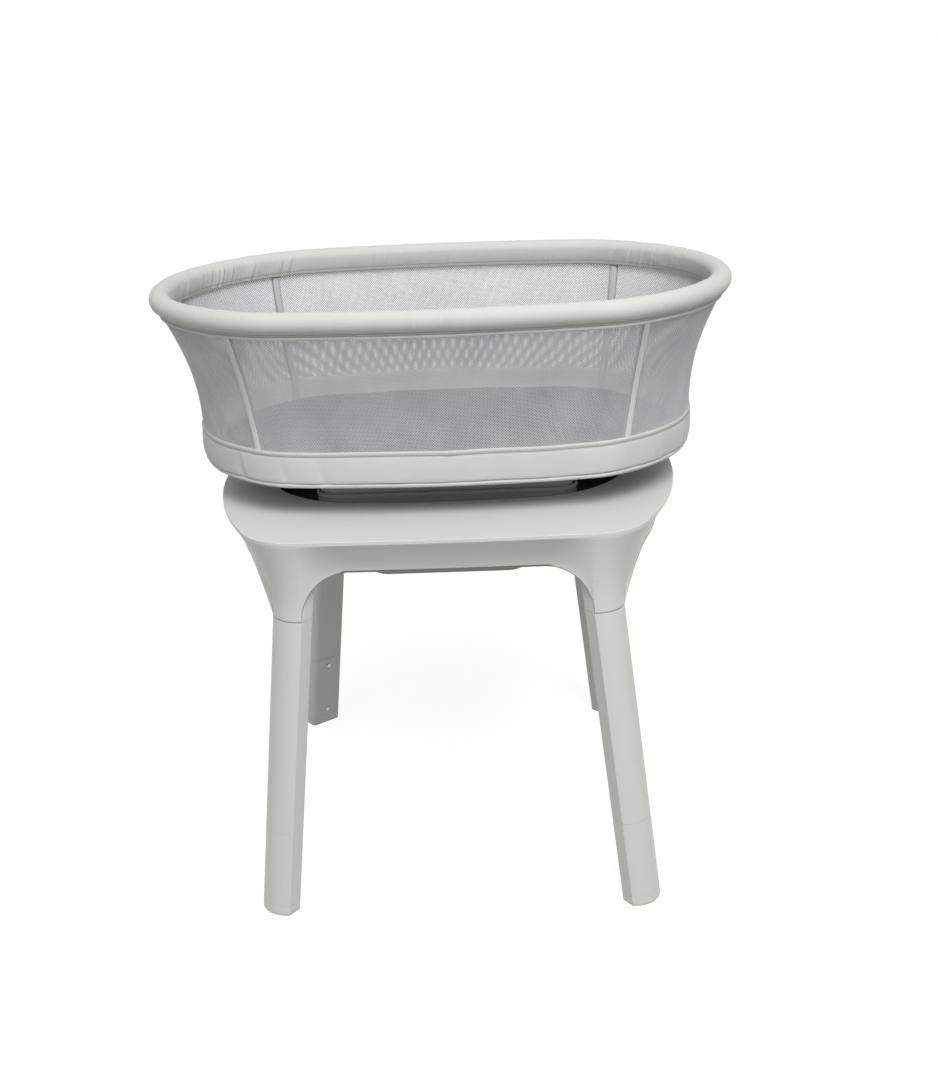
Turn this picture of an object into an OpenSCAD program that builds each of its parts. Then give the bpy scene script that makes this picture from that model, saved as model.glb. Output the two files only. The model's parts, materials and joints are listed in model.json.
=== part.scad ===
// Powered bassinet: an oval mesh basket on a moving drive block, carried by a moulded four-legged stand.
// Millimetres. Origin on the floor under the middle of the stand, +X along the basket, +Z up.

/* [Basket outline] */
// Half length of the basket at the lower band
band_a = 346; // [320:1:370]
// Half depth of the basket at the lower band
band_b = 216; // [205:1:225]
// Radius of the two long sides' gentle bow
side_r = 1400; // [1100:10:2400]
// How much smaller the ends' radius is than the half depth
end_step = 1; // [0:0.5:6]
// Radius of the arcs that join the ends to the sides
corner_r = 105; // [80:1:130]

/* [Basket heights] */
// Height of the band's lower edge above the floor
band_z = 600; // [590:1:620]
// Height of the fabric band
band_h = 49; // [40:1:58]
// Height of the mesh wall between the band and the rim's trim
mesh_h = 157; // [130:1:180]
// How far the mesh wall flares outward at its top edge
wall_flare = 40; // [20:1:50]
// Turn from a seam on to the end of the end's arc
seam_off = 4.6; // [3:0.2:9]

/* [Basket parts] */
// Radius of the padded rim roll
rim_r = 14; // [11:0.5:18]
// Radius of the steel tube in the rim
rim_tube_r = 8; // [6:0.5:9]
// Depth of the flat trim strip under the rim roll
trim_h = 7; // [5:0.5:12]
// Thickness of the trim strip
trim_t = 3.2; // [2.4:0.2:5]
// Thickness of the mesh
mesh_t = 1.2; // [0.8:0.1:2]
// Thickness of the padded band
band_t = 4; // [3:0.5:6]
// Radius of the piping along the band's lower edge
piping_r = 2.6; // [2:0.1:4]
// Width of the seam strips
seam_w = 9; // [6:0.5:14]
// Width of the upright stays in the seams
stay_w = 8; // [5:0.5:12]
// Thickness of the upright stays
stay_t = 3; // [2:0.5:5]
// Radius of the tube round the basket's floor
floor_tube_r = 7; // [5:0.5:9]
// Thickness of the floor board
board_t = 5; // [4:0.5:8]
// Thickness of the mattress
mattress_t = 17; // [12:1:24]
// Clearance round a soft piece
soft_gap = 0.3; // [0.2:0.05:0.6]

/* [Stand] */
// Half length of the stand's top
deck_a = 323; // [305:1:335]
// Half depth of the stand's top
deck_b = 293; // [285:1:310]
// Radius of the bow of the stand's ends
deck_end_r = 535; // [450:5:700]
// Radius of the stand's corners
deck_corner_r = 79; // [60:1:110]
// Radius of the bow of the stand's long sides
deck_side_r = 5800; // [2000:100:8000]
// Free height between the stand's top and the basket's band
basket_gap = 44; // [38:1:56]
// Thickness of the deck plate
deck_t = 5; // [4:0.5:7]
// Thickness of the frame's walls
frame_wall = 6; // [5:0.5:8]
// Height of the rail, from its lower edge to the stand's top
rail_h = 51; // [44:1:58]
// Depth of the rounded roll under the rail
rail_roll = 5; // [3:0.5:8]
// How far the rail leans in below the deck's edge
rail_lean = 23; // [16:1:28]
// Height of an arch, from a socket's mouth up to the rail
arch_h = 65; // [55:1:75]
// Radius of the arch between a leg and a rail
arch_r = 62; // [50:1:75]
// Sharpness of the flare from a leg out to the deck's edge
flare_n = 1.9; // [1.5:0.1:2.4]
// Width of the rail's underside
rail_w = 70; // [60:1:80]

/* [Legs] */
// Distance of a leg's socket from the stand's end
socket_in_x = 115; // [105:1:125]
// Distance of a leg's socket from the stand's side
socket_in_y = 36; // [32:1:44]
// How far a foot stands out from its socket, along X
foot_out_x = 50; // [40:1:56]
// How far a foot stands out from its socket, along Y
foot_out_y = 22; // [14:1:26]
// Width of a leg's section
leg_w = 53; // [48:1:56]
// Thickness of a leg's section
leg_t = 34; // [30:1:36]
// Radius of a leg's curved outer face
leg_r = 38; // [34:1:42]
// Radius of the edges of a leg's flat inner face
leg_edge = 6; // [5:0.5:8]
// Angle between a leg's flat face and X
leg_turn = 38; // [30:1:45]
// Wall of the leg tubes
leg_wall = 3; // [2.5:0.5:4]
// Height of the joint between a leg and its extension
extension_z = 129; // [110:1:145]
// Height of the joint between an extension and its foot cap
cap_z = 15; // [12:1:18]
// Length of a spigot
spigot_l = 54; // [40:1:56]
// Gap between a spigot and the tube round it
spigot_gap = 0.15; // [0.1:0.05:0.4]
// Radius of the snap buttons
snap_r = 4; // [3:0.5:5]
// How far a snap button is from the joint that it locks
snap_off = 13; // [10:1:18]
// Travel of a snap button
snap_travel = 4; // [3.6:0.1:5]

/* [Recess and drive] */
// Half length of the recess in the deck
recess_a = 256; // [246:1:264]
// Half depth of the recess in the deck
recess_b = 149; // [144:1:156]
// Half length of the drive's cover
cover_a = 181; // [170:1:190]
// Half depth of the drive's cover
cover_b = 118; // [112:1:124]
// Corner radius of the drive's cover
cover_r = 30; // [24:1:40]
// Wall of the cover and of the lift skirt
cover_wall = 2.5; // [2:0.5:3]
// Travel of the lift
lift_travel = 26; // [16:1:28]
// How far the skirt still reaches into the cover when it is lifted
skirt_lap = 3; // [2:0.5:6]
// Travel of the sway to each side
sway_travel = 26; // [18:1:28]
// Running gap between the cover and the lift skirt
skirt_gap = 1.5; // [1:0.1:2.5]
// Radius of the two guide rods
rod_r = 5; // [4:0.5:6]
// Distance from the middle to a guide rod
rod_y = 85; // [78:1:88]
// Radius of the four guide posts
post_r = 5; // [4:0.5:6]
// Radial running clearance of a shaft
run_gap = 0.05; // [0.02:0.01:0.08]
// Tooth size of the gears
gear_module = 1.5; // [1.5:0.1:1.8]
// Teeth on a pinion
gear_teeth = 16; // [14:1:18]
// Width of the gears
gear_w = 8; // [6:1:10]
// Play between the teeth
gear_play = 0.25; // [0.2:0.05:0.4]

/* [Controls] */
// Width of the control panel
panel_w = 116; // [100:1:130]
// Depth of the control panel
panel_d = 30; // [26:1:34]
// Radius of the round buttons
button_r = 7; // [6:0.5:9]
// Distance between the round buttons
button_pitch = 30; // [26:1:34]
// Travel of the buttons
button_travel = 1.2; // [0.8:0.1:1.6]
// Radius of the power socket's opening
jack_r = 5.5; // [4.5:0.5:7]

/* [Hidden] */

// Small amount by which a cutter passes a face
eps = 0.5;
// Large size for cutting planes
far = 2000;
// Steps of a full turn on the basket's arcs
arc_fn = 180;
front = -1;
back = 1;
left = -1;
right = 1;

// Three tangent arcs that make a quadrant of an outline, from its half length, half depth and radii:
// centres of the end's, the corner's and the side's arc, then the angles where they meet
function three_arcs(a, b, end_r, corner_r, side_r) = let (
    end_c = [a - end_r, 0],
    side_c = [0, b - side_r],
    gap = norm(end_c - side_c),
    dir = (end_c - side_c) / gap,
    along = ((side_r - corner_r)^2 - (end_r - corner_r)^2 + gap^2) / (2 * gap),
    across = sqrt((side_r - corner_r)^2 - along^2),
    corner_c = side_c + along * dir + across * [dir.y, -dir.x])
  [end_c, corner_c, side_c,
   atan2(corner_c.y, corner_c.x - end_c.x), 90 - atan2(corner_c.x, corner_c.y - side_c.y)];

// The basket's outline, shared by every ring of the basket
end_r = band_b - end_step;
basket_arcs = three_arcs(band_a, band_b, end_r, corner_r, side_r);
end_c = basket_arcs[0];
corner_c = basket_arcs[1];
side_c = basket_arcs[2];
end_angle = basket_arcs[3];
side_angle = basket_arcs[4];
seam_angle = end_angle - seam_off;

// The stand's outline
deck_arcs = three_arcs(deck_a, deck_b, deck_end_r, deck_corner_r, deck_side_r);
deck_end_c = deck_arcs[0];
deck_corner_c = deck_arcs[1];
deck_side_c = deck_arcs[2];
deck_end_angle = deck_arcs[3];
deck_side_angle = deck_arcs[4];

// Heights of the basket
band_top = band_z + band_h;
mesh_top = band_top + mesh_h;
rim_z = mesh_top + trim_h + rim_r;
floor_top = band_z + 2 * floor_tube_r;
board_z = floor_top - board_t;
sleeve_t = 0.6;
mattress_z = floor_top + sleeve_t + soft_gap;
stay_inset = band_t + soft_gap;
tube_inset = stay_inset + stay_t + soft_gap;

// Heights of the stand
deck_z = band_z - basket_gap;
rail_z = deck_z - rail_h;
socket_z = rail_z - arch_h;
frame_top = deck_z - deck_t;
under_z = rail_z - rail_roll;
floor_z = under_z + 4;
frame_floor = floor_z + 4;

// Places of the legs
socket_x = deck_a - socket_in_x;
socket_y = deck_b - socket_in_y;
foot_x = socket_x + foot_out_x;
foot_y = socket_y + foot_out_y;

// Drive
pinion_r = gear_module * gear_teeth / 2;
tooth_pitch = PI * gear_module;
chassis_t = 2.5;
chassis_z = frame_floor;
rod_z = chassis_z + chassis_t + rod_r + 4.5;
bush_r = rod_r + 3.5;
carriage_z = rod_z + rod_r + 2;
carriage_t = 3;
carriage_top = carriage_z + carriage_t;
skirt_bottom = carriage_top + 1;
cover_z = skirt_bottom + lift_travel + skirt_lap;
cover_bottom = rod_z + rod_r + 0.8;
support_t = 4;
support_z = band_z - support_t - soft_gap;
skirt_a = cover_a - cover_wall - skirt_gap;
skirt_b = cover_b - cover_wall - skirt_gap;
skirt_r = cover_r - cover_wall - skirt_gap;

// ---- Basket outline ----

// One arc round the basket: children are drawn as distance outside the band's outline, height.
// It stops short of its end angles by a length
module arc_ring(centre, radius, from, to, short = 0) {
  turn_off = short / radius * 180 / PI;
  translate([centre.x, centre.y, 0])
    rotate([0, 0, from + turn_off])
      rotate_extrude(angle = to - from - 2 * turn_off, $fn = arc_fn)
        translate([radius, 0])
          children();
}

// An end wall between its two seams; sign is left or right
module end_wall(sign) {
  in_quadrant(sign, back)
    arc_ring(end_c, end_r, soft_turn - seam_angle, seam_angle - soft_turn) children();
}

// Bent tube round the basket: eight arcs, each joined to the next inside a short sleeve
module tube_ring(grow, z, r) {
  sleeve_l = 12;
  for (x = [left, right])
    in_quadrant(x, back)
      arc_ring(end_c, end_r, -end_angle, end_angle, sleeve_l / 4) tube_section(grow, z, r);
  for (y = [front, back])
    in_quadrant(right, y)
      arc_ring(side_c, side_r, side_angle, 180 - side_angle, sleeve_l / 4) tube_section(grow, z, r);
  for (x = [left, right], y = [front, back])
    in_quadrant(x, y) {
      arc_ring(corner_c, corner_r, end_angle, side_angle, sleeve_l / 4) tube_section(grow, z, r);
      for (a = [end_angle, side_angle])
        translate([corner_c.x, corner_c.y, z])
          rotate([0, 0, a])
            translate([corner_r + grow, 0, 0])
              rotate([90, 0, 0])
                cylinder(r = r + sleeve_t, h = sleeve_l, center = true, $fn = 48);
    }
}

module tube_section(grow, z, r) {
  translate([grow, z])
    circle(r = r, $fn = 48);
}

// Mirrors the first quadrant's shape into the quadrant that the signs name
module in_quadrant(x, y) {
  mirror([x < 0 ? 1 : 0, 0, 0])
    mirror([0, y < 0 ? 1 : 0, 0])
      children();
}

// Points of an arc between two angles
function arc(centre, radius, from, to, steps) = [
  for (i = [0:steps]) let (a = from + (to - from) * i / steps) centre + radius * [cos(a), sin(a)]
];

// One quadrant of the basket's outline, grown by a distance, from X round to Y
function quadrant_points(grow, from, steps) = concat(
  arc(end_c, end_r + grow, from, end_angle, steps),
  [for (i = [1:3]) corner_c + (corner_r + grow) * unit(end_angle + (side_angle - end_angle) * i / 3)],
  [for (i = [1:4]) side_c + (side_r + grow) * unit(side_angle + (90 - side_angle) * i / 4)]
);

// A quadrant's points mirrored into the whole outline
function mirrored(q) = let (last = len(q) - 1) concat(
  q,
  [for (i = [last - 1:-1:0]) [-q[i].x, q[i].y]],
  [for (i = [1:last]) -q[i]],
  [for (i = [last - 1:-1:1]) [q[i].x, -q[i].y]]
);

// The basket's outline as a flat shape, grown by a distance
module oval(grow) {
  polygon(mirrored(quadrant_points(grow, 0, 16)));
}

// Lines that the points of a section follow: the whole outline, or a long side between its seams
function whole_line(grow) = mirrored(quadrant_points(grow, 0, 9));
function long_line(grow) = let (q = quadrant_points(grow, seam_angle, 2))
  concat(q, [for (i = [len(q) - 2:-1:0]) [-q[i].x, q[i].y]]);

// Carries a section round the basket; its points are distance outside the band, height
module swept(section, whole_way) {
  lines = [for (p = section) whole_way ? whole_line(p.x) : long_line(p.x)];
  count = len(section);
  stations = len(lines[0]);
  points = [for (i = [0:stations - 1], j = [0:count - 1]) [lines[j][i].x, lines[j][i].y, section[j].y]];
  sides = [for (i = [0:stations - (whole_way ? 1 : 2)], j = [0:count - 1])
    let (n = (j + 1) % count, k = i * count, m = (i + 1) % stations * count)
      each [[k + j, k + n, m + j], [k + n, m + n, m + j]]];
  ends = whole_way ? [] : [
    [for (j = [count - 1:-1:0]) j],
    [for (j = [0:count - 1]) (stations - 1) * count + j]
  ];
  polyhedron(points = points, faces = concat(sides, ends));
}

function round_section(x, z, r, sides) = [for (i = [0:sides - 1]) [x, z] + r * unit(360 * (i + 0.5) / sides)];

// Flare of the mesh wall at a height above the band, as a share of the wall from 0 to 1
function flare(share) = wall_flare * share^2;
wall_steps = 6;
function wall_points(inset, from, to) = [
  for (i = [0:wall_steps]) let (s = from + (to - from) * i / wall_steps)
    [flare(s) - inset, band_top + mesh_h * s]
];
function unit(a) = [cos(a), sin(a)];
function reversed(list) = [for (i = [len(list) - 1:-1:0]) list[i]];
function rest(list) = [for (i = [1:len(list) - 1]) list[i]];

// Section of a layer of the flared wall, between two insets from its outer face
function wall_layer(outer, inner) = concat(wall_points(outer, 0, 1), reversed(wall_points(inner, 0, 1)));

// ---- Basket pieces ----

module long_mesh(sign) {
  color([0.66, 0.67, 0.69])
    in_quadrant(right, sign)
      swept(reversed(wall_layer(mesh_t, 0)), false);
}

module end_mesh(sign) {
  color([0.66, 0.67, 0.69])
    end_wall(sign)
      polygon(wall_layer(0, mesh_t));
}

module mesh_front() { long_mesh(front); }
module mesh_back() { long_mesh(back); }
module mesh_left() { end_mesh(left); }
module mesh_right() { end_mesh(right); }

// Turn that leaves the soft gap between two panels at a seam
soft_turn = soft_gap / end_r * 180 / PI;
seam_turn = seam_w / 2 / (end_r + wall_flare) * 180 / PI;

// Twill strips sewn over the four seams, outside the mesh
module seam_strips() {
  color([0.78, 0.79, 0.77])
    for (x = [left, right], y = [front, back])
      in_quadrant(x, y)
        arc_ring(end_c, end_r, seam_angle - seam_turn, seam_angle + seam_turn)
          polygon(wall_layer(-soft_gap - 1, -soft_gap));
}

// Flat spring-steel stays behind the seams, which hold the rim up
module upright_stays() {
  color([0.8, 0.8, 0.8])
    for (x = [left, right], y = [front, back])
      in_quadrant(x, y)
        translate([end_c.x, end_c.y, 0])
          rotate([0, 0, seam_angle])
            translate([end_r, 0, 0])
              rotate([90, 0, 0])
                linear_extrude(height = stay_w, center = true)
                  stay_section();
}

// A stay's side view: from the floor tube, up behind the band and the mesh, to the rim tube
module stay_section() {
  outer = mesh_t + soft_gap;
  inner = outer + stay_t;
  foot = band_z + 2 * piping_r + 5 * soft_gap;
  top = mesh_top + trim_h - soft_gap;
  polygon(concat(
    [[-stay_inset, foot], [-stay_inset, band_top]],
    wall_points(outer, 0.12, 1),
    [[flare(1) - outer, top], [flare(1) - inner, top]],
    reversed(wall_points(inner, 0.12, 1)),
    [[-stay_inset - stay_t, band_top], [-stay_inset - stay_t, foot]]
  ));
}

module rim_tube() {
  color([0.75, 0.75, 0.75])
    tube_ring(wall_flare, rim_z, rim_tube_r);
}

// Padded sleeve round the rim's tube, loose enough to clear the tube's own sleeves
module rim_cover() {
  inner_r = (rim_tube_r + 1.4) / cos(180 / 8);
  color([0.86, 0.87, 0.85])
    difference() {
      swept(round_section(wall_flare, rim_z, rim_r, 12), true);
      swept(round_section(wall_flare, rim_z, inner_r, 8), true);
    }
}

// Flat strip under the roll that holds the mesh's top edge, outside the stays
module rim_trim() {
  color([0.82, 0.83, 0.81])
    translate([0, 0, mesh_top + soft_gap])
      linear_extrude(trim_h - 2 * soft_gap)
        difference() {
          oval(wall_flare - mesh_t + trim_t);
          oval(wall_flare - mesh_t);
        }
}

// Padded band round the basket's base, with a hem at its upper edge
module lower_band() {
  hem_h = 6;
  hem_t = 1;
  color([0.84, 0.85, 0.83])
    difference() {
      union() {
        translate([0, 0, band_z + 2 * piping_r])
          linear_extrude(band_h - 2 * piping_r - soft_gap)
            oval(0);
        translate([0, 0, band_top - hem_h - soft_gap])
          linear_extrude(hem_h)
            oval(hem_t);
      }
      translate([0, 0, band_z])
        linear_extrude(band_h + 1)
          oval(-band_t);
    }
}

// Piping along the band's lower edge
module band_piping() {
  color([0.87, 0.88, 0.86])
    swept(round_section(-piping_r, band_z + piping_r, piping_r - soft_gap / 2, 6), true);
}

module floor_tube() {
  color([0.75, 0.75, 0.75])
    tube_ring(-tube_inset - floor_tube_r, band_z + floor_tube_r, floor_tube_r);
}

// Board inside the floor tube, with a moulded plinth that stands on the support plate
module floor_board() {
  plinth_a = skirt_a - 10;
  plinth_b = skirt_b - 10;
  plinth_wall = 5;
  color([0.5, 0.52, 0.55])
    union() {
      translate([0, 0, board_z])
        linear_extrude(board_t)
          oval(-tube_inset - 2 * floor_tube_r - soft_gap);
      translate([0, 0, band_z])
        linear_extrude(board_z - band_z + eps)
          difference() {
            rounded_plate(plinth_a, plinth_b, cover_r - 10);
            rounded_plate(plinth_a - plinth_wall, plinth_b - plinth_wall, cover_r - 10 - plinth_wall);
          }
    }
}

module mattress() {
  color([0.45, 0.48, 0.53])
    translate([0, 0, mattress_z])
      linear_extrude(mattress_t)
        oval(-tube_inset - 3 * soft_gap);
}

// ---- Legs ----

foot_c = [foot_x, foot_y, 0];
socket_c = [socket_x, socket_y, socket_z];
leg_dir = (socket_c - foot_c) / norm(socket_c - foot_c);
tilt_axis = [-leg_dir.y, leg_dir.x, 0] / norm([leg_dir.x, leg_dir.y]);
tilt_angle = acos(leg_dir.z);
leg_long = norm(socket_c - foot_c);

// A vector turned by the leg's tilt (Rodrigues: v cos a + k x v sin a + k (k.v)(1 - cos a))
function tilted(v) = v * cos(tilt_angle) + cross(tilt_axis, v) * sin(tilt_angle)
  + tilt_axis * (tilt_axis * v) * (1 - cos(tilt_angle));
leg_across = tilted([cos(leg_turn), -sin(leg_turn), 0]);
leg_out = tilted([sin(leg_turn), cos(leg_turn), 0]);

// Places its children in the first quadrant's leg: Z up the leg, Y outward, X across the flat face
module in_leg() {
  translate(foot_c)
    rotate(a = tilt_angle, v = tilt_axis)
      rotate([0, 0, -leg_turn])
        children();
}

// Flat inner face with rounded edges, curved outer face; inset shrinks it all round
module leg_section(inset) {
  half = leg_w / 2 - inset;
  deep = leg_t / 2 - inset;
  edge = leg_edge - min(inset, leg_edge - 1.5);
  intersection() {
    union() {
      translate([-half, -deep + edge])
        square([2 * half, 2 * leg_t]);
      translate([-half + edge, -deep])
        square([2 * (half - edge), 2 * leg_t]);
      for (x = [left, right])
        translate([x * (half - edge), -deep + edge])
          circle(r = edge, $fn = 32);
    }
    translate([0, leg_t / 2 - leg_r])
      circle(r = leg_r - inset, $fn = 96);
  }
}

// Bar of the leg's section between two heights, cut level
module leg_bar(inset, from, to) {
  intersection() {
    in_leg()
      translate([0, 0, from - 40])
        linear_extrude(to - from + 80)
          leg_section(inset);
    translate([0, 0, from])
      linear_extrude(to - from)
        square([far, far], center = true);
  }
}

// Hole through a leg's flat inner face at a height
module snap_hole(z, r) {
  in_leg()
    translate([0, 0, z * leg_long / socket_z])
      rotate([90, 0, 0])
        cylinder(r = r, h = leg_t, $fn = 48);
}

bolt_z = socket_z + spigot_l;
plug_t = 12;

module leg_shape() {
  color([0.73, 0.74, 0.71])
    difference() {
      union() {
        leg_bar(0, extension_z, socket_z);
        leg_bar(leg_wall + spigot_gap, extension_z - spigot_l / 2, extension_z + eps);
        leg_bar(leg_wall + spigot_gap, socket_z - eps, bolt_z);
      }
      leg_bar(2 * leg_wall, extension_z - spigot_l, bolt_z - plug_t);
      snap_hole(extension_z - snap_off, snap_r + run_gap);
      leg_bolt(0.02);
    }
}

module extension_shape() {
  color([0.73, 0.74, 0.71])
    difference() {
      leg_bar(0, cap_z, extension_z);
      leg_bar(leg_wall, cap_z - eps, extension_z + eps);
      snap_hole(extension_z - snap_off, snap_r + 0.3);
      snap_hole(cap_z + snap_off, snap_r + 0.3);
    }
}

module foot_cap_shape() {
  color([0.7, 0.71, 0.69])
    difference() {
      union() {
        leg_bar(0, 0, cap_z);
        leg_bar(leg_wall + spigot_gap, cap_z - eps, cap_z + spigot_l / 2);
      }
      leg_bar(2 * leg_wall, 5, cap_z + spigot_l);
      snap_hole(cap_z + snap_off, snap_r + run_gap);
    }
}

// Round button on a leaf: the head passes through both tubes, the flange stays inside
module snap_shape(z) {
  inner_face = leg_t / 2 - 2 * leg_wall;
  color([0.55, 0.55, 0.55])
    in_leg()
      translate([0, 0, z * leg_long / socket_z])
        rotate([90, 0, 0]) {
          translate([0, 0, inner_face - 2.2])
            cylinder(r = snap_r + 1.5, h = 2, $fn = 48);
          translate([0, 0, inner_face - 2.2])
            cylinder(r = snap_r, h = 2.2 + leg_wall + snap_travel, $fn = 48);
        }
}

// Shank of the bolt that holds a leg, from the leg's plug to the frame's floor
bolt_r = 3;
module leg_bolt(grow) {
  in_leg()
    translate([0, 0, (bolt_z - plug_t) * leg_long / socket_z - 3])
      cylinder(r = bolt_r + grow, h = (frame_floor - bolt_z + plug_t) * leg_long / socket_z + 4, $fn = 32);
}

module leg_bolts() {
  color([0.6, 0.6, 0.6])
    for (x = [left, right], y = [front, back])
      in_quadrant(x, y)
        union() {
          leg_bolt(0);
          in_leg()
            translate([0, 0, (frame_floor + 0.85) * leg_long / socket_z])
              cylinder(r = 2 * bolt_r, h = 4, $fn = 32);
        }
}

module front_left_leg() { in_quadrant(left, front) leg_shape(); }
module front_right_leg() { in_quadrant(right, front) leg_shape(); }
module rear_left_leg() { in_quadrant(left, back) leg_shape(); }
module rear_right_leg() { in_quadrant(right, back) leg_shape(); }
module front_left_extension() { in_quadrant(left, front) extension_shape(); }
module front_right_extension() { in_quadrant(right, front) extension_shape(); }
module rear_left_extension() { in_quadrant(left, back) extension_shape(); }
module rear_right_extension() { in_quadrant(right, back) extension_shape(); }
module front_left_foot_cap() { in_quadrant(left, front) foot_cap_shape(); }
module front_right_foot_cap() { in_quadrant(right, front) foot_cap_shape(); }
module rear_left_foot_cap() { in_quadrant(left, back) foot_cap_shape(); }
module rear_right_foot_cap() { in_quadrant(right, back) foot_cap_shape(); }
module front_left_upper_snap() { in_quadrant(left, front) snap_shape(extension_z - snap_off); }
module front_left_lower_snap() { in_quadrant(left, front) snap_shape(cap_z + snap_off); }
module front_right_upper_snap() { in_quadrant(right, front) snap_shape(extension_z - snap_off); }
module front_right_lower_snap() { in_quadrant(right, front) snap_shape(cap_z + snap_off); }
module rear_left_upper_snap() { in_quadrant(left, back) snap_shape(extension_z - snap_off); }
module rear_left_lower_snap() { in_quadrant(left, back) snap_shape(cap_z + snap_off); }
module rear_right_upper_snap() { in_quadrant(right, back) snap_shape(extension_z - snap_off); }
module rear_right_lower_snap() { in_quadrant(right, back) snap_shape(cap_z + snap_off); }

// ---- Stand frame ----

// Distance from a point inside a circle to the circle, along a unit vector
function reach_to(from, centre, radius, v) = let (gap = from - centre)
  sqrt((gap * v)^2 + radius^2 - gap * gap) - gap * v;
// Point of the stand's outline at an angle about its corner's centre
function deck_point(angle) = let (v = unit(angle)) deck_corner_c + v * (
  angle < deck_end_angle ? reach_to(deck_corner_c, deck_end_c, deck_end_r, v)
  : angle > deck_side_angle ? reach_to(deck_corner_c, deck_side_c, deck_side_r, v)
  : deck_corner_r);
// Point of that outline above an X
deck_turn_x = deck_corner_c.x + deck_corner_r * cos(deck_side_angle);
function deck_over(x) = [x, x < deck_turn_x ? deck_side_c.y + sqrt(deck_side_r^2 - x^2)
  : deck_corner_c.y + sqrt(deck_corner_r^2 - (x - deck_corner_c.x)^2)];
// Point of that outline beside a Y
deck_turn_y = deck_corner_c.y + deck_corner_r * sin(deck_end_angle);
function deck_beside(y) = [y < deck_turn_y ? deck_end_c.x + sqrt(deck_end_r^2 - y^2)
  : deck_corner_c.x + sqrt(deck_corner_r^2 - (y - deck_corner_c.y)^2), y];
// Angle about the corner's centre at which a point of the outline is seen
function seen_at(p) = atan2(p.y - deck_corner_c.y, p.x - deck_corner_c.x);

// Point of the tilted leg's surface at the socket's mouth, from its place in the leg's section
function on_socket(p) = let (q = foot_c + leg_across * p.x + leg_out * p.y)
  q + leg_dir * ((socket_z - q.z) / leg_dir.z);

// The section's outer line, over the curved face from one corner to the other
half_w = leg_w / 2;
half_t = leg_t / 2;
curve_a = asin(half_w / leg_r);
end_y = half_t - leg_r + leg_r * cos(curve_a);
leg_steps = 16;
outer_line = [for (i = [0:leg_steps]) let (a = -curve_a + 2 * curve_a * i / leg_steps)
  [leg_r * sin(a), half_t - leg_r + leg_r * cos(a)]];
// The section's inner line between the same corners: end face, rounded edge, flat face, and back
end_steps = 2;
edge_steps = 3;
flat_steps = leg_steps - 2 * (end_steps + edge_steps);
edge_x = leg_edge - half_w;
edge_y = leg_edge - half_t;
inner_line = concat(
  [for (i = [0:end_steps - 1]) [-half_w, end_y + (leg_edge - half_t - end_y) * i / end_steps]],
  [for (i = [0:edge_steps]) [edge_x, edge_y] + leg_edge * unit(180 + 90 * i / edge_steps)],
  [for (i = [1:flat_steps - 1]) [-edge_x * (2 * i / flat_steps - 1), -half_t]],
  [for (i = [0:edge_steps]) [-edge_x, edge_y] + leg_edge * unit(270 + 90 * i / edge_steps)],
  [for (i = [end_steps - 1:-1:0]) [half_w, end_y + (leg_edge - half_t - end_y) * i / end_steps]]
);
edge_a = on_socket(outer_line[0]);
edge_b = on_socket(outer_line[leg_steps]);

// Lower edge of the rails and arches: level along a rail, then a quarter ellipse down to the leg
rail_steps = 5;
arch_steps = 7;
back_start = [edge_a.x - arch_r, deck_over(edge_a.x - arch_r).y - rail_lean, rail_z];
side_start = [deck_beside(edge_b.y - arch_r).x - rail_lean, edge_b.y - arch_r, rail_z];
function arch_point(start, end, share) = let (a = 90 * share, over = sin(a), drop = 1 - cos(a))
  [start.x + (end.x - start.x) * over, start.y + (end.y - start.y) * (drop * 0.4 + over * 0.6),
   start.z + (end.z - start.z) * drop];
function arch_side(start, end, share) = let (a = 90 * share, over = sin(a), drop = 1 - cos(a))
  [start.x + (end.x - start.x) * (drop * 0.4 + over * 0.6), start.y + (end.y - start.y) * over,
   start.z + (end.z - start.z) * drop];

back_edge = concat(
  [for (i = [0:rail_steps - 1]) let (x = back_start.x * i / rail_steps)
    [x, deck_over(x).y - rail_lean, rail_z]],
  [for (i = [0:arch_steps - 1]) arch_point(back_start, edge_a, i / arch_steps)]
);
side_edge = concat(
  [for (i = [arch_steps - 1:-1:0]) arch_side(side_start, edge_b, i / arch_steps)],
  [for (i = [rail_steps - 1:-1:0]) let (y = side_start.y * i / rail_steps)
    [deck_beside(y).x - rail_lean, y, rail_z]]
);
socket_outer = [for (p = outer_line) on_socket(p)];
socket_inner = [for (p = inner_line) on_socket(p)];
lower_outer = concat(back_edge, socket_outer, side_edge);
lower_inner = concat(back_edge, socket_inner, side_edge);
leg_from = len(back_edge);
leg_to = leg_from + leg_steps;
quarter = len(lower_outer) - 1;

// Share of the way along the leg's part of the outline, from 0 at one arch to 1 at the other
function leg_share(i) = min(1, max(0, (i - leg_from) / leg_steps));
angle_a = seen_at(deck_over(edge_a.x));
angle_b = seen_at(deck_beside(edge_b.y));
deck_edge = [for (i = [0:quarter]) i < leg_from ? deck_over(lower_outer[i].x)
  : i > leg_to ? deck_beside(lower_outer[i].y)
  : deck_point(angle_a + (angle_b - angle_a) * leg_share(i))];
// The underside's inner boundary, with the same count of points
inner_a = deck_a - rail_w;
inner_b = deck_b - rail_w;
inner_edge = [for (i = [0:quarter]) let (p = deck_edge[i])
  [inner_a * min(1, p.x / deck_a * (1 + 0.06 * sin(180 * i / quarter))),
   inner_b * min(1, p.y / deck_b * (1 + 0.06 * sin(180 * i / quarter)))]];

// Height share and outward share of a point on the outer face
skirt_steps = 8;
function bend(i) = 1 + (flare_n - 1) * min(1, max(0, 1 - abs(i - (leg_from + leg_to) / 2)
  / (leg_steps / 2 + arch_steps) * 0.55) * 1.25);
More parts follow.
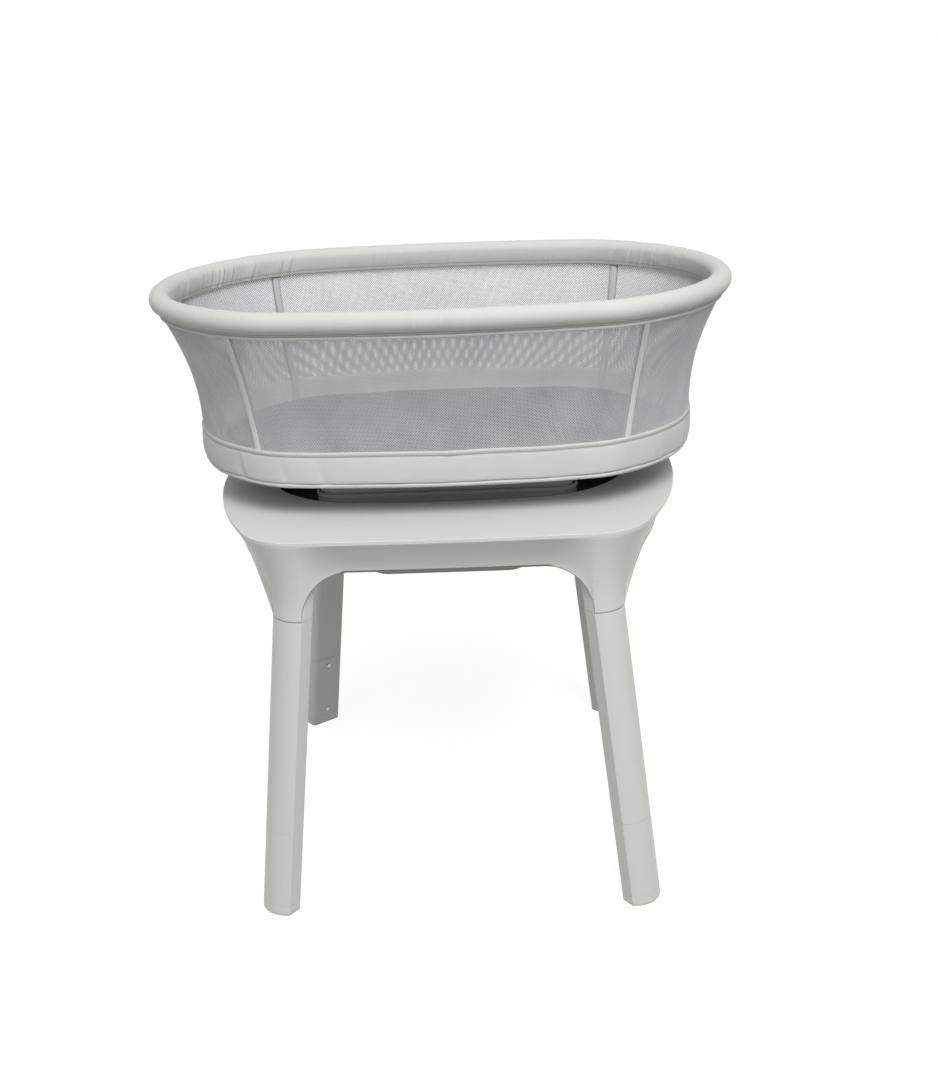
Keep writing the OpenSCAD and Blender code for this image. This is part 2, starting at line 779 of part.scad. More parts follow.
// Near a leg both faces of the frame first go on along the leg's own slope
function lean(c, z) = leg_dir * ((z - c.z) / leg_dir.z * max(0, (rail_z - c.z) / (rail_z - socket_z)));
function skirt_point(i, share) = let (c = lower_outer[i], d = deck_edge[i],
    z = c.z + (frame_top - c.z) * share, on = lean(c, z), full = lean(c, frame_top), out = share^bend(i))
  [c.x + on.x + (d.x - c.x - full.x) * out, c.y + on.y + (d.y - c.y - full.y) * out, z];

// Underside: starts upright at the leg or rail, turns level at the inner boundary
vault_steps = 8;
function vault_share(k) = (k / vault_steps)^1.5;
function vault_point(i, k) = let (c = lower_inner[i], d = inner_edge[i], a = 90 * vault_share(k),
    z = c.z + (under_z - c.z) * sin(a), on = z > c.z ? lean(c, z) : [0, 0, 0],
    near = max(0, (rail_z - c.z) / (rail_z - socket_z)),
    over = near * (1 - cos(a)) + (1 - near) * vault_share(k))
  [(c.x + on.x) * (1 - over) + d.x * over, (c.y + on.y) * (1 - over) + d.y * over, z];

// Unit vector inward, level, from the deck's edge
function inward(i) = let (v = inner_edge[i] - deck_edge[i]) v / norm(v);
function pocket_point(i, z) = let (share = (z - lower_outer[i].z) / (frame_top - lower_outer[i].z),
    p = skirt_point(i, max(0, share)), v = inward(i))
  [p.x + v.x * frame_wall, p.y + v.y * frame_wall, z];

// Rows of the frame's closed surface in the first quadrant, from the pocket's floor round to it again
rows = concat(
  [[for (i = [0:quarter]) pocket_point(i, frame_floor)]],
  [[for (i = [0:quarter]) pocket_point(i, frame_top)]],
  [for (k = [skirt_steps:-1:1]) [for (i = [0:quarter]) skirt_point(i, k / skirt_steps)]],
  [lower_outer],
  [for (k = [1:vault_steps]) [for (i = [0:quarter]) vault_point(i, k)]],
  [[for (i = [0:quarter]) [inner_edge[i].x, inner_edge[i].y, frame_floor]]]
);
row_count = len(rows);
outer_row = skirt_steps + 2;
ring_count = 4 * quarter;

// A quadrant's row turned into a whole ring by mirroring
function whole(row) = concat(
  [for (i = [0:quarter - 1]) row[i]],
  [for (i = [quarter:-1:1]) [row[i].x, -row[i].y, row[i].z]],
  [for (i = [0:quarter - 1]) [-row[i].x, -row[i].y, row[i].z]],
  [for (i = [quarter:-1:1]) [-row[i].x, row[i].y, row[i].z]]
);

// Points of the flat faces' lines that the ring of the outer line doesn't hold
flat_count = leg_steps - 1;
flat_row = [for (i = [1:flat_count]) socket_inner[i]];
flat_points = concat(
  flat_row,
  [for (p = reversed(flat_row)) [p.x, -p.y, p.z]],
  [for (p = flat_row) [-p.x, -p.y, p.z]],
  [for (p = reversed(flat_row)) [-p.x, p.y, p.z]]
);
flat_base = row_count * ring_count;

// Place in the ring of a quadrant's leg points, counted from the leg's first
function leg_place(q, i) = q == 0 ? leg_from + i
  : q == 1 ? 2 * quarter - leg_to + i
  : q == 2 ? 2 * quarter + leg_from + i
  : 4 * quarter - leg_to + i;
function quadrant_of(j) = floor(j / quarter);
// Index of the point below ring place j in the underside's first row
function lower_index(j) = let (n = j % ring_count, q = quadrant_of(n), i = n - leg_place(q, 0))
  i > 0 && i < leg_steps ? flat_base + q * flat_count + i - 1 : outer_row * ring_count + n;
function at(k, j) = k * ring_count + j % ring_count;

frame_faces = concat(
  [for (k = [0:row_count - 2], j = [0:ring_count - 1]) if (k != outer_row)
    [at(k, j), at(k, j + 1), at(k + 1, j + 1)]],
  [for (k = [0:row_count - 2], j = [0:ring_count - 1]) if (k != outer_row)
    [at(k, j), at(k + 1, j + 1), at(k + 1, j)]],
  [for (j = [0:ring_count - 1])
    [lower_index(j), lower_index(j + 1), at(outer_row + 1, j + 1)]],
  [for (j = [0:ring_count - 1])
    [lower_index(j), at(outer_row + 1, j + 1), at(outer_row + 1, j)]],
  [for (j = [0:ring_count - 1])
    [at(row_count - 1, j), at(row_count - 1, j + 1), at(0, j + 1)]],
  [for (j = [0:ring_count - 1])
    [at(row_count - 1, j), at(0, j + 1), at(0, j)]],
  [for (q = [0:3], i = [0:leg_steps - 1]) let (a = outer_row * ring_count + leg_place(q, i),
      c = lower_index(leg_place(q, i)), d = lower_index(leg_place(q, i + 1))) if (c != a)
    [a, a + 1, c]],
  [for (q = [0:3], i = [0:leg_steps - 1]) let (a = outer_row * ring_count + leg_place(q, i),
      c = lower_index(leg_place(q, i)), d = lower_index(leg_place(q, i + 1))) if (d != a + 1)
    [a + 1, d, c]]
);

// The frame's inner boundary as a flat shape, shrunk by a clearance
module inner_outline(inset) {
  polygon(mirrored(reversed([for (q = inner_edge) q - inset * q / norm(q)])));
}

module frame_surface() {
  polyhedron(points = concat([for (row = rows) each whole(row)], flat_points), faces = frame_faces);
}

module stand_frame() {
  color([0.69, 0.69, 0.68])
    difference() {
      frame_surface();
      for (x = [left, right], y = [front, back])
        in_quadrant(x, y) {
          leg_bar(leg_wall, socket_z - eps, bolt_z + 0.5);
          leg_bolt(0.3);
        }
    }
}

// ---- Deck and underside ----

module deck_outline() {
  polygon(mirrored(concat(
    arc(deck_end_c, deck_end_r, 0, deck_end_angle, 8),
    rest(arc(deck_corner_c, deck_corner_r, deck_end_angle, deck_side_angle, 14)),
    rest(arc(deck_side_c, deck_side_r, deck_side_angle, 90, 6))
  )));
}

// The recess outline: an oval whose arcs share the basket's proportions
module recess_outline(grow) {
  recess_end_r = recess_b - 6;
  long_r = ((recess_a - recess_end_r)^2 + recess_b^2 - recess_end_r^2) / (2 * (recess_b - recess_end_r));
  intersection() {
    union() {
      square([2 * (recess_a - recess_end_r), 3 * recess_b], center = true);
      for (x = [left, right])
        translate([x * (recess_a - recess_end_r), 0])
          circle(r = recess_end_r + grow, $fn = 180);
    }
    translate([0, recess_b - long_r])
      circle(r = long_r + grow, $fn = 1440);
    translate([0, long_r - recess_b])
      circle(r = long_r + grow, $fn = 1440);
  }
}

well_wall = 3;
well_depth = 18;

module rounded_plate(a, b, r) {
  square([2 * (a - r), 2 * b], center = true);
  square([2 * a, 2 * (b - r)], center = true);
  for (x = [left, right], y = [front, back])
    translate([x * (a - r), y * (b - r)])
      circle(r = r, $fn = 64);
}

panel_y = (recess_b + deck_b) / 2;
panel_t = 3;

module panel_outline(grow) {
  translate([0, panel_y])
    rounded_plate(panel_w / 2 + grow, panel_d / 2 + grow, 8 + grow);
}

// Top plate with the recess's rim turned down into the frame
module deck_plate() {
  color([0.86, 0.87, 0.85])
    difference() {
      union() {
        translate([0, 0, frame_top])
          linear_extrude(deck_t)
            deck_outline();
        translate([0, 0, frame_top - well_depth])
          linear_extrude(well_depth + eps)
            recess_outline(well_wall);
      }
      translate([0, 0, frame_top - well_depth - eps])
        linear_extrude(far)
          recess_outline(0);
      translate([0, 0, deck_z - panel_t])
        linear_extrude(far)
          panel_outline(0.1);
      for (i = [-1:1])
        translate([i * button_pitch, panel_y, frame_top - eps])
          cylinder(r = button_r - 2, h = deck_t + 1, $fn = 48);
    }
}

module control_panel() {
  color([0.8, 0.81, 0.79])
    difference() {
      translate([0, 0, deck_z - panel_t])
        linear_extrude(panel_t)
          panel_outline(0);
      for (i = [-1:1])
        translate([i * button_pitch, panel_y, deck_z - panel_t - eps])
          cylinder(r = button_r + 0.2, h = panel_t + 1, $fn = 64);
    }
}

// Round push button: a cap in the panel's hole and a stem through the deck
module push_button(i) {
  cap_t = 2;
  color([0.9, 0.9, 0.88])
    translate([i * button_pitch, panel_y, 0])
      union() {
        translate([0, 0, deck_z + button_travel / 2 - cap_t])
          cylinder(r = button_r, h = cap_t, $fn = 64);
        translate([0, 0, frame_top - 2])
          cylinder(r = button_r - 2.2, h = deck_t + 2 + button_travel / 2 - cap_t + eps, $fn = 48);
      }
}

module power_button() { push_button(-1); }
module sway_button() { push_button(0); }
module lift_button() { push_button(1); }

pan_a = 106;
pan_b = 180;
pan_drop = 36;
pan_z = under_z - pan_drop;
pan_wall = 3;
pan_step = 1.5;
pan_r = 26;
jack_x = 40;
jack_z = (pan_z + under_z) / 2;
jack_l = 12;
jack_wall = 3.5;
screw_x = 190;
screw_y = 180;

// Bottom cover of the stand, with a tray that hangs below the drive
module belly_pan() {
  color([0.64, 0.64, 0.62])
    difference() {
      union() {
        translate([0, 0, under_z])
          linear_extrude(floor_z - under_z)
            inner_outline(1);
        for (x = [left, right], y = [front, back])
          translate([x * screw_x, y * screw_y, under_z])
            cylinder(r = 7, h = chassis_z - under_z, $fn = 48);
        translate([0, 0, pan_z + pan_step])
          linear_extrude(floor_z - pan_z - pan_step)
            rounded_plate(pan_a, pan_b, pan_r);
        translate([0, 0, pan_z])
          linear_extrude(pan_step + eps)
            rounded_plate(pan_a - pan_step, pan_b - pan_step, pan_r - pan_step);
      }
      translate([0, 0, pan_z + pan_wall])
        linear_extrude(far)
          rounded_plate(pan_a - pan_wall, pan_b - pan_wall, pan_r - pan_wall);
      for (x = [left, right], y = [front, back])
        translate([x * screw_x, y * screw_y, under_z - eps])
          cylinder(r = 2.2, h = far, $fn = 32);
      translate([jack_x, pan_b - pan_wall - eps, jack_z])
        rotate([-90, 0, 0])
          cylinder(r = jack_r + 0.3, h = pan_wall + 1, $fn = 48);
    }
}

// Screws that hold the bottom cover to the chassis plate
module pan_screws() {
  color([0.5, 0.5, 0.5])
    for (x = [left, right], y = [front, back])
      translate([x * screw_x, y * screw_y, 0])
        union() {
          translate([0, 0, under_z - 1.5])
            cylinder(r = 4, h = 1.5, $fn = 32);
          translate([0, 0, under_z - eps])
            cylinder(r = 2, h = chassis_z - under_z + chassis_t + eps, $fn = 32);
        }
}

// ---- Drive ----

// Involute of a circle: point at a roll angle
function involute(base, roll) = base * [cos(roll) + roll * PI / 180 * sin(roll),
  sin(roll) - roll * PI / 180 * cos(roll)];
pressure = 20;
tip_r = pinion_r + gear_module;
root_r = pinion_r - 1.25 * gear_module;
base_r = pinion_r * cos(pressure);
flank_steps = 4;
function roll_at(r) = sqrt(max(0, (r / base_r)^2 - 1)) * 180 / PI;
half_tooth = 90 / gear_teeth - gear_play / 2 / pinion_r * 180 / PI + tan(pressure) * 180 / PI - pressure;
flank = [for (i = [0:flank_steps]) let (r = base_r + (tip_r - base_r) * i / flank_steps)
  involute(base_r, roll_at(r))];
function turn(p, a) = [p.x * cos(a) - p.y * sin(a), p.x * sin(a) + p.y * cos(a)];

module pinion_outline() {
  polygon([for (t = [0:gear_teeth - 1]) let (mid = 360 * t / gear_teeth) each concat(
    [turn([root_r, 0], mid - half_tooth)],
    [for (p = flank) turn(p, mid - half_tooth)],
    [for (p = reversed(flank)) turn([p.x, -p.y], mid + half_tooth)],
    [turn([root_r, 0], mid + half_tooth)]
  )]);
}

// Straight rack: teeth point to +Y, the pitch line lies on X, one gap is centred on X = 0
module rack_outline(length, depth) {
  count = 2 * floor(length / 2 / tooth_pitch);
  top = tooth_pitch / 4 - gear_play / 4 - gear_module * tan(pressure);
  foot = tooth_pitch / 4 - gear_play / 4 + 1.25 * gear_module * tan(pressure);
  start = -count / 2 * tooth_pitch;
  polygon(concat(
    [[start, -1.25 * gear_module - depth], [start, -1.25 * gear_module]],
    [for (i = [0:count - 1]) let (mid = start + (i + 0.5) * tooth_pitch) each [
      [mid - foot, -1.25 * gear_module], [mid - top, gear_module],
      [mid + top, gear_module], [mid + foot, -1.25 * gear_module]]],
    [[-start, -1.25 * gear_module], [-start, -1.25 * gear_module - depth]]
  ));
}

flange_lap = 8;
rod_in = 13;
rod_half = inner_a - rod_in;
block_l = 14;
block_w = 22;
block_z = chassis_z + chassis_t;

// Steel plate that lies on the frame's flange
module chassis_plate() {
  color([0.42, 0.43, 0.43])
    difference() {
      translate([0, 0, chassis_z])
        linear_extrude(chassis_t)
          inner_outline(-flange_lap);
      translate([0, 0, chassis_z - eps])
        linear_extrude(chassis_t + 1)
          rounded_plate(36, 30, 8);
      for (x = [left, right], y = [front, back])
        translate([x * screw_x, y * screw_y, chassis_z - eps])
          cylinder(r = 2.05, h = 8, $fn = 32);
    }
}

// Four blocks on the chassis plate that the rods' ends are pressed into
module rod_blocks() {
  color([0.42, 0.43, 0.43])
    for (x = [left, right], y = [front, back])
      difference() {
        translate([x * (rod_half - block_l / 2) - block_l / 2, y * rod_y - block_w / 2, block_z])
          cube([block_l, block_w, rod_z - block_z + rod_r + 4]);
        translate([-rod_half - eps, y * rod_y, rod_z])
          rotate([0, 90, 0])
            cylinder(r = rod_r + 0.02, h = 2 * rod_half + 1, $fn = 64);
      }
}

module guide_rods() {
  color([0.8, 0.8, 0.82])
    for (y = [front, back])
      translate([-rod_half, y * rod_y, rod_z])
        rotate([0, 90, 0])
          cylinder(r = rod_r, h = 2 * rod_half, $fn = 64);
}

sway_axis_y = 20;
sway_gear_z = carriage_z - gear_w - 0.6;
rack_depth = 5;
rack_foot_in = 6;
rack_foot_w = 14;
sway_rack_l = 2 * (sway_travel + pinion_r + 2 + tooth_pitch);

// Rack on the chassis; it stands on a foot that bridges the plate's opening
module sway_rack() {
  color([0.75, 0.74, 0.7])
    union() {
      translate([0, sway_axis_y + pinion_r, sway_gear_z])
        linear_extrude(gear_w)
          mirror([0, 1])
            rack_outline(sway_rack_l, rack_depth);
      translate([-sway_rack_l / 2 + rack_foot_in, sway_axis_y + pinion_r + 1.25 * gear_module + 0.2,
                 chassis_z + chassis_t])
        cube([sway_rack_l - 2 * rack_foot_in, rack_foot_w, sway_gear_z - chassis_z - chassis_t + gear_w]);
    }
}

carriage_a = cover_a - cover_wall;
carriage_b = cover_b - cover_wall;
bush_l = 24;
bush_x = 120;
post_x = 140;
post_y = 85;
sway_shaft_r = 4;

// Carriage: plate, four bushes that run on the rods, bracket for the lift gear
module carriage_plate() {
  color([0.5, 0.5, 0.5])
    difference() {
      union() {
        translate([0, 0, carriage_z])
          linear_extrude(carriage_t)
            rounded_plate(carriage_a, carriage_b, cover_r - cover_wall);
        for (x = [left, right], y = [front, back])
          translate([x * bush_x - bush_l / 2, y * rod_y, rod_z])
            rotate([0, 90, 0])
              cylinder(r = bush_r, h = bush_l, $fn = 64);
        for (x = [left, right], y = [front, back])
          translate([x * bush_x - bush_l / 2, y * rod_y - 6, rod_z])
            cube([bush_l, 12, carriage_z - rod_z + eps]);
      }
      for (y = [front, back])
        translate([-far / 2, y * rod_y, rod_z])
          rotate([0, 90, 0])
            cylinder(r = rod_r + run_gap, h = far, $fn = 64);
      translate([0, sway_axis_y, carriage_z - eps])
        cylinder(r = sway_shaft_r + run_gap, h = carriage_t + 1, $fn = 64);
      for (x = [left, right], y = [front, back])
        translate([x * post_x, y * post_y, carriage_z - eps])
          cylinder(r = post_r + 0.02, h = carriage_t + 1, $fn = 48);
    }
}

// Outer cover of the drive, with a lip that the lift skirt slides in
module drive_cover() {
  lip = 1.2;
  color([0.5, 0.51, 0.5])
    difference() {
      union() {
        translate([0, 0, cover_bottom])
          linear_extrude(cover_z - cover_bottom)
            rounded_plate(cover_a, cover_b, cover_r);
        translate([0, 0, cover_z - 5])
          linear_extrude(3)
            rounded_plate(cover_a + lip, cover_b + lip, cover_r + lip);
      }
      translate([0, 0, cover_bottom - eps])
        linear_extrude(far)
          rounded_plate(carriage_a + 0.05, carriage_b + 0.05, cover_r - cover_wall + 0.05);
    }
}

module guide_posts() {
  color([0.8, 0.8, 0.82])
    for (x = [left, right], y = [front, back])
      translate([x * post_x, y * post_y, carriage_z])
        cylinder(r = post_r, h = support_z - carriage_z - 2, $fn = 64);
}

gearbox_l = 48;
gearbox_w = 44;
gearbox_h = 26;
motor_r = 13;
motor_l = 41;

// Gearmotor standing on the carriage, its shaft going down to the sway pinion
module sway_motor() {
  color([0.35, 0.36, 0.38])
    union() {
      translate([-gearbox_l / 2, sway_axis_y - gearbox_w / 2 + 4, carriage_top])
        cube([gearbox_l, gearbox_w, gearbox_h]);
      translate([gearbox_l / 2 - eps, sway_axis_y + 4, carriage_top + motor_r + 1])
        rotate([0, 90, 0])
          cylinder(r = motor_r, h = motor_l + eps, $fn = 64);
    }
}

// Pinion with its own shaft, which turns in the carriage plate's bore
module sway_pinion() {
  color([0.7, 0.62, 0.4])
    translate([0, sway_axis_y, 0])
      rotate([0, 0, -90])
        union() {
          translate([0, 0, sway_gear_z])
            linear_extrude(gear_w)
              rotate([0, 0, 180])
                pinion_outline();
          translate([0, 0, sway_gear_z])
            cylinder(r = sway_shaft_r, h = carriage_top - sway_gear_z - 0.1, $fn = 64);
        }
}

lift_gear_y = -40;
lift_axis_x = -20;
lift_axis_z = support_z - pinion_r - gear_module - 10;
lift_shaft_r = 4;
bracket_w = 30;
bracket_y = lift_gear_y - gear_w / 2 - 1;
lift_shaft_l = gear_w / 2 + 2 * bracket_w / 3;

// Gearmotor with a bored bracket plate beside the lift rack
module lift_motor() {
  color([0.35, 0.36, 0.38])
    difference() {
      union() {
        translate([lift_axis_x - gearbox_l / 2, bracket_y - bracket_w, carriage_top])
          cube([gearbox_w, bracket_w, lift_axis_z - carriage_top + pinion_r]);
        translate([lift_axis_x - gearbox_l / 2 - motor_l + eps, bracket_y - 2 * bracket_w / 3,
                   carriage_top + motor_r + 3])
          rotate([0, 90, 0])
            cylinder(r = motor_r, h = motor_l + eps, $fn = 64);
      }
      translate([lift_axis_x, lift_gear_y + 1, lift_axis_z])
        rotate([90, 0, 0])
          cylinder(r = lift_shaft_r + run_gap, h = lift_shaft_l + 2, $fn = 64);
    }
}

module lift_pinion() {
  color([0.7, 0.62, 0.4])
    translate([lift_axis_x, lift_gear_y, lift_axis_z])
      rotate([90, 0, 0])
        union() {
          translate([0, 0, -gear_w / 2])
            linear_extrude(gear_w)
              pinion_outline();
          cylinder(r = lift_shaft_r, h = lift_shaft_l, $fn = 64);
        }
}

// Upright rack under the support plate
lift_rack_l = 2 * floor((support_z - carriage_top - 3) / 2 / tooth_pitch) * tooth_pitch;
module lift_rack() {
  color([0.75, 0.74, 0.7])
    translate([lift_axis_x + pinion_r, lift_gear_y, 0])
      union() {
        intersection() {
          translate([0, 0, lift_axis_z])
            rotate([90, 0, 0])
              rotate([0, 0, 90])
                translate([0, 0, -gear_w / 2])
                  linear_extrude(gear_w)
                    rack_outline(4 * lift_rack_l, rack_depth);
          translate([-far / 2, -far / 2, carriage_top + 2])
            cube([far, far, support_z - carriage_top - 2]);
        }
      }
}

spring_x = 140;
spring_r = 11;
spring_wire = 1.5;
spring_turns = 5;
turn_steps = 16;
wire_sides = 6;

// Compression spring: a wire swept along a helix between the carriage and the support plate
module spring(height) {
  steps = spring_turns * turn_steps;
  points = [for (i = [0:steps], j = [0:wire_sides - 1])
    let (a = 360 * i / turn_steps, b = 360 * j / wire_sides, r = spring_r + spring_wire * cos(b))
      [r * cos(a), r * sin(a), spring_wire + (height - 2 * spring_wire) * i / steps + spring_wire * sin(b)]];
  sides = [for (i = [0:steps - 1], j = [0:wire_sides - 1])
    let (n = (j + 1) % wire_sides, k = i * wire_sides)
      each [[k + j, k + wire_sides + j, k + n], [k + n, k + wire_sides + j, k + wire_sides + n]]];
  ends = [[for (j = [0:wire_sides - 1]) j], [for (j = [wire_sides - 1:-1:0]) steps * wire_sides + j]];
  polyhedron(points = points, faces = concat(sides, ends));
}

module lift_springs() {
  color([0.7, 0.7, 0.72])
    for (x = [left, right])
      translate([x * spring_x, 0, carriage_top])
        spring(support_z - carriage_top);
}

tube_r = 9;

// Plate under the basket, with four guide tubes that slide on the posts
module support_plate() {
  color([0.46, 0.47, 0.47])
    difference() {
      union() {
        translate([0, 0, support_z])
          linear_extrude(support_t)
            rounded_plate(skirt_a - cover_wall, skirt_b - cover_wall, skirt_r - cover_wall);
        for (x = [left, right], y = [front, back])
          translate([x * post_x, y * post_y, carriage_top + 4])
            cylinder(r = tube_r, h = support_z - carriage_top - 3.5, $fn = 64);
      }
      for (x = [left, right], y = [front, back])
        translate([x * post_x, y * post_y, carriage_top])
          cylinder(r = post_r + run_gap, h = support_z - carriage_top - 1, $fn = 64);
    }
}

// Sleeve round the support plate that closes the drive as it lifts
module lift_skirt() {
  color([0.58, 0.59, 0.58])
    translate([0, 0, skirt_bottom])
      linear_extrude(support_z + support_t - skirt_bottom)
        difference() {
          rounded_plate(skirt_a, skirt_b, skirt_r);
          rounded_plate(skirt_a - cover_wall, skirt_b - cover_wall, skirt_r - cover_wall);
        }
}

circuit_l = 120;
circuit_w = 80;
circuit_t = 1.6;
circuit_y = pan_b - pan_wall - circuit_w / 2 - 37;
pillar_r = 3;
pillar_h = 5;
pillar_in = 2 * pillar_r;
chip_l = 24;
chip_h = 5;
header_l = 34;
header_h = 13;

// Circuit board standing in the belly pan on four short pillars
module control_board() {
  foot_z = pan_z + pan_wall;
  color([0.12, 0.35, 0.2])
    union() {
      translate([-circuit_l / 2, circuit_y - circuit_w / 2, foot_z + pillar_h])
        cube([circuit_l, circuit_w, circuit_t]);
      for (x = [left, right], y = [front, back])
        translate([x * (circuit_l / 2 - pillar_in), circuit_y + y * (circuit_w / 2 - pillar_in), foot_z])
          cylinder(r = pillar_r, h = pillar_h + eps, $fn = 32);
      translate([-chip_l * 1.5, circuit_y - chip_l / 2, foot_z + pillar_h + eps])
        cube([chip_l, chip_l, chip_h]);
      translate([chip_l, circuit_y + circuit_w / 4, foot_z + pillar_h + eps])
        cube([header_l, header_l / 3, header_h]);
    }
}

// Socket for the power lead in the belly pan's rear wall
module power_jack() {
  color([0.15, 0.15, 0.15])
    translate([jack_x, pan_b - pan_wall - jack_l, jack_z])
      rotate([-90, 0, 0])
        difference() {
          translate([-jack_r - jack_wall, -jack_r - jack_wall, 0])
            cube([2 * (jack_r + jack_wall), 2 * (jack_r + jack_wall), jack_l]);
          translate([0, 0, 3])
            cylinder(r = jack_r, h = jack_l, $fn = 48);
        }
}

stand_frame();
deck_plate();
belly_pan();
pan_screws();
front_left_leg();
front_right_leg();
rear_left_leg();
rear_right_leg();
front_left_extension();
front_right_extension();
rear_left_extension();
rear_right_extension();
front_left_foot_cap();
front_right_foot_cap();
rear_left_foot_cap();
rear_right_foot_cap();
leg_bolts();
front_left_upper_snap();
front_left_lower_snap();
front_right_upper_snap();
front_right_lower_snap();
rear_left_upper_snap();
rear_left_lower_snap();
rear_right_upper_snap();
rear_right_lower_snap();
chassis_plate();
rod_blocks();
guide_rods();
sway_rack();
control_board();
power_jack();
control_panel();
power_button();
sway_button();
lift_button();
carriage_plate();
drive_cover();
guide_posts();
sway_motor();
sway_pinion();
lift_motor();
lift_pinion();
lift_springs();
support_plate();
lift_rack();
lift_skirt();
floor_board();
floor_tube();
rim_tube();
rim_cover();
rim_trim();
mesh_front();
mesh_back();
mesh_left();
mesh_right();
seam_strips();
upright_stays();
lower_band();
band_piping();
mattress();
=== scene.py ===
import json
import bmesh
import bpy
import numpy as np
from mathutils import Matrix, Vector


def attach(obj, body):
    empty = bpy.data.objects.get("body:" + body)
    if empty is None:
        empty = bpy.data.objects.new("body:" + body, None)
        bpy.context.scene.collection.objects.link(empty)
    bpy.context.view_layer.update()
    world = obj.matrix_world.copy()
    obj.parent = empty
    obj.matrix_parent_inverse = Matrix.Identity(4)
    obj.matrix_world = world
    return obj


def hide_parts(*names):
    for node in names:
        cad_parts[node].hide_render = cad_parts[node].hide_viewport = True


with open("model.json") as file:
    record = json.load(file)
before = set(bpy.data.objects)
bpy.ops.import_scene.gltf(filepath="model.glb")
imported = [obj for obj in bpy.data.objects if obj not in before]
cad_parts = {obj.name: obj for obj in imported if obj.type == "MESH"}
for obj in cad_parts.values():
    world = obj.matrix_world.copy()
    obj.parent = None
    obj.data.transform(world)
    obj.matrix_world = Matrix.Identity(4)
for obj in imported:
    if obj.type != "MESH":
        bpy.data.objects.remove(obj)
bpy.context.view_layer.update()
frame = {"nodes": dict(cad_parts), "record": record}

nodes = frame["nodes"]

# ---- Padded rim roll -------------------------------------------------------------------------
# The rim is a bent steel tube in a foam sleeve under a light grey coated fabric. The cover wraps
# the roll and hangs down inside as a flat facing, where it is gathered into sharp little folds on
# the bends. A stitched line closes it above the trim strip.


def mm(*sizes):
    """Millimetres as metres."""
    scaled = [size * 0.001 for size in sizes]
    return scaled[0] if len(scaled) == 1 else scaled


def tangent_arcs(a, b, end_r, corner_r, side_r):
    """Centres of the end, corner and side arcs of a quadrant of an outline, and the turns where
    they meet: the corner's centre is the third corner of a triangle with sides end_r - corner_r
    and side_r - corner_r on the other two centres."""
    end, side = np.array([a - end_r, 0.0]), np.array([0.0, b - side_r])
    gap = np.hypot(*(end - side))
    way = (end - side) / gap
    along = ((side_r - corner_r) ** 2 - (end_r - corner_r) ** 2 + gap**2) / (2 * gap)
    out = np.sqrt((side_r - corner_r) ** 2 - along**2)
    corner = side + along * way + out * np.array([way[1], -way[0]])
    start = np.arctan2(corner[1], corner[0] - end[0])
    stop = np.pi / 2 - np.arctan2(corner[0], corner[1] - side[1])
    return np.stack([end, corner, side]), start, stop


OVAL_A, OVAL_B = mm(346, 216)
RADII = np.array(mm(215, 105, 1400))
CENTRES, END_TURN, SIDE_TURN = tangent_arcs(OVAL_A, OVAL_B, *RADII)
ARC_LENGTHS = RADII * np.diff([0, END_TURN, SIDE_TURN, np.pi / 2])
QUARTER = ARC_LENGTHS.sum()
ROUND = 4 * QUARTER
FRONT = 3 * QUARTER
SEAM_TURN = END_TURN - np.radians(4.6)
SEAM_AT = RADII[0] * SEAM_TURN
SEAMS = (SEAM_AT, 2 * QUARTER - SEAM_AT, 2 * QUARTER + SEAM_AT, 4 * QUARTER - SEAM_AT)


def oval(s):
    """Centre of curvature, radius and outward normal of the basket's outline at lengths s along
    it, counted from +X anticlockwise. One quarter is three arcs; the others are its mirror images."""
    s = np.mod(np.asarray(s, float), ROUND)
    quarter = np.floor(s / QUARTER).astype(int) % 4
    within = s - quarter * QUARTER
    within = np.where(quarter % 2 == 1, QUARTER - within, within)
    first, second = ARC_LENGTHS[0], ARC_LENGTHS[:2].sum()
    turn = np.where(within < first, within / RADII[0],
                    np.where(within < second, END_TURN + (within - first) / RADII[1],
                             SIDE_TURN + (within - second) / RADII[2]))
    part = (within >= first).astype(int) + (within >= second).astype(int)
    sign = np.stack([np.where((quarter == 0) | (quarter == 3), 1.0, -1.0),
                     np.where(quarter < 2, 1.0, -1.0)], -1)
    normal = np.stack([np.cos(turn), np.sin(turn)], -1) * sign
    return CENTRES[part] * sign, RADII[part], normal


def around(s, out, z):
    """Points at length s round the basket, a distance out from the band's face, at height z."""
    s, out, z = np.broadcast_arrays(s, out, z)
    centre, radius, normal = oval(s)
    xy = centre + normal * (radius + out)[..., None]
    return np.concatenate([xy, z[..., None]], -1)


def grid_quads(rows, cols, wrap_rows=False, wrap_cols=False):
    """Quads between neighbouring points of a grid numbered row by row."""
    i = np.arange(rows if wrap_rows else rows - 1)[:, None]
    j = np.arange(cols if wrap_cols else cols - 1)[None, :]
    i1, j1 = (i + 1) % rows, (j + 1) % cols
    return np.stack([i * cols + j, i * cols + j1, i1 * cols + j1, i1 * cols + j], -1).reshape(-1, 4)


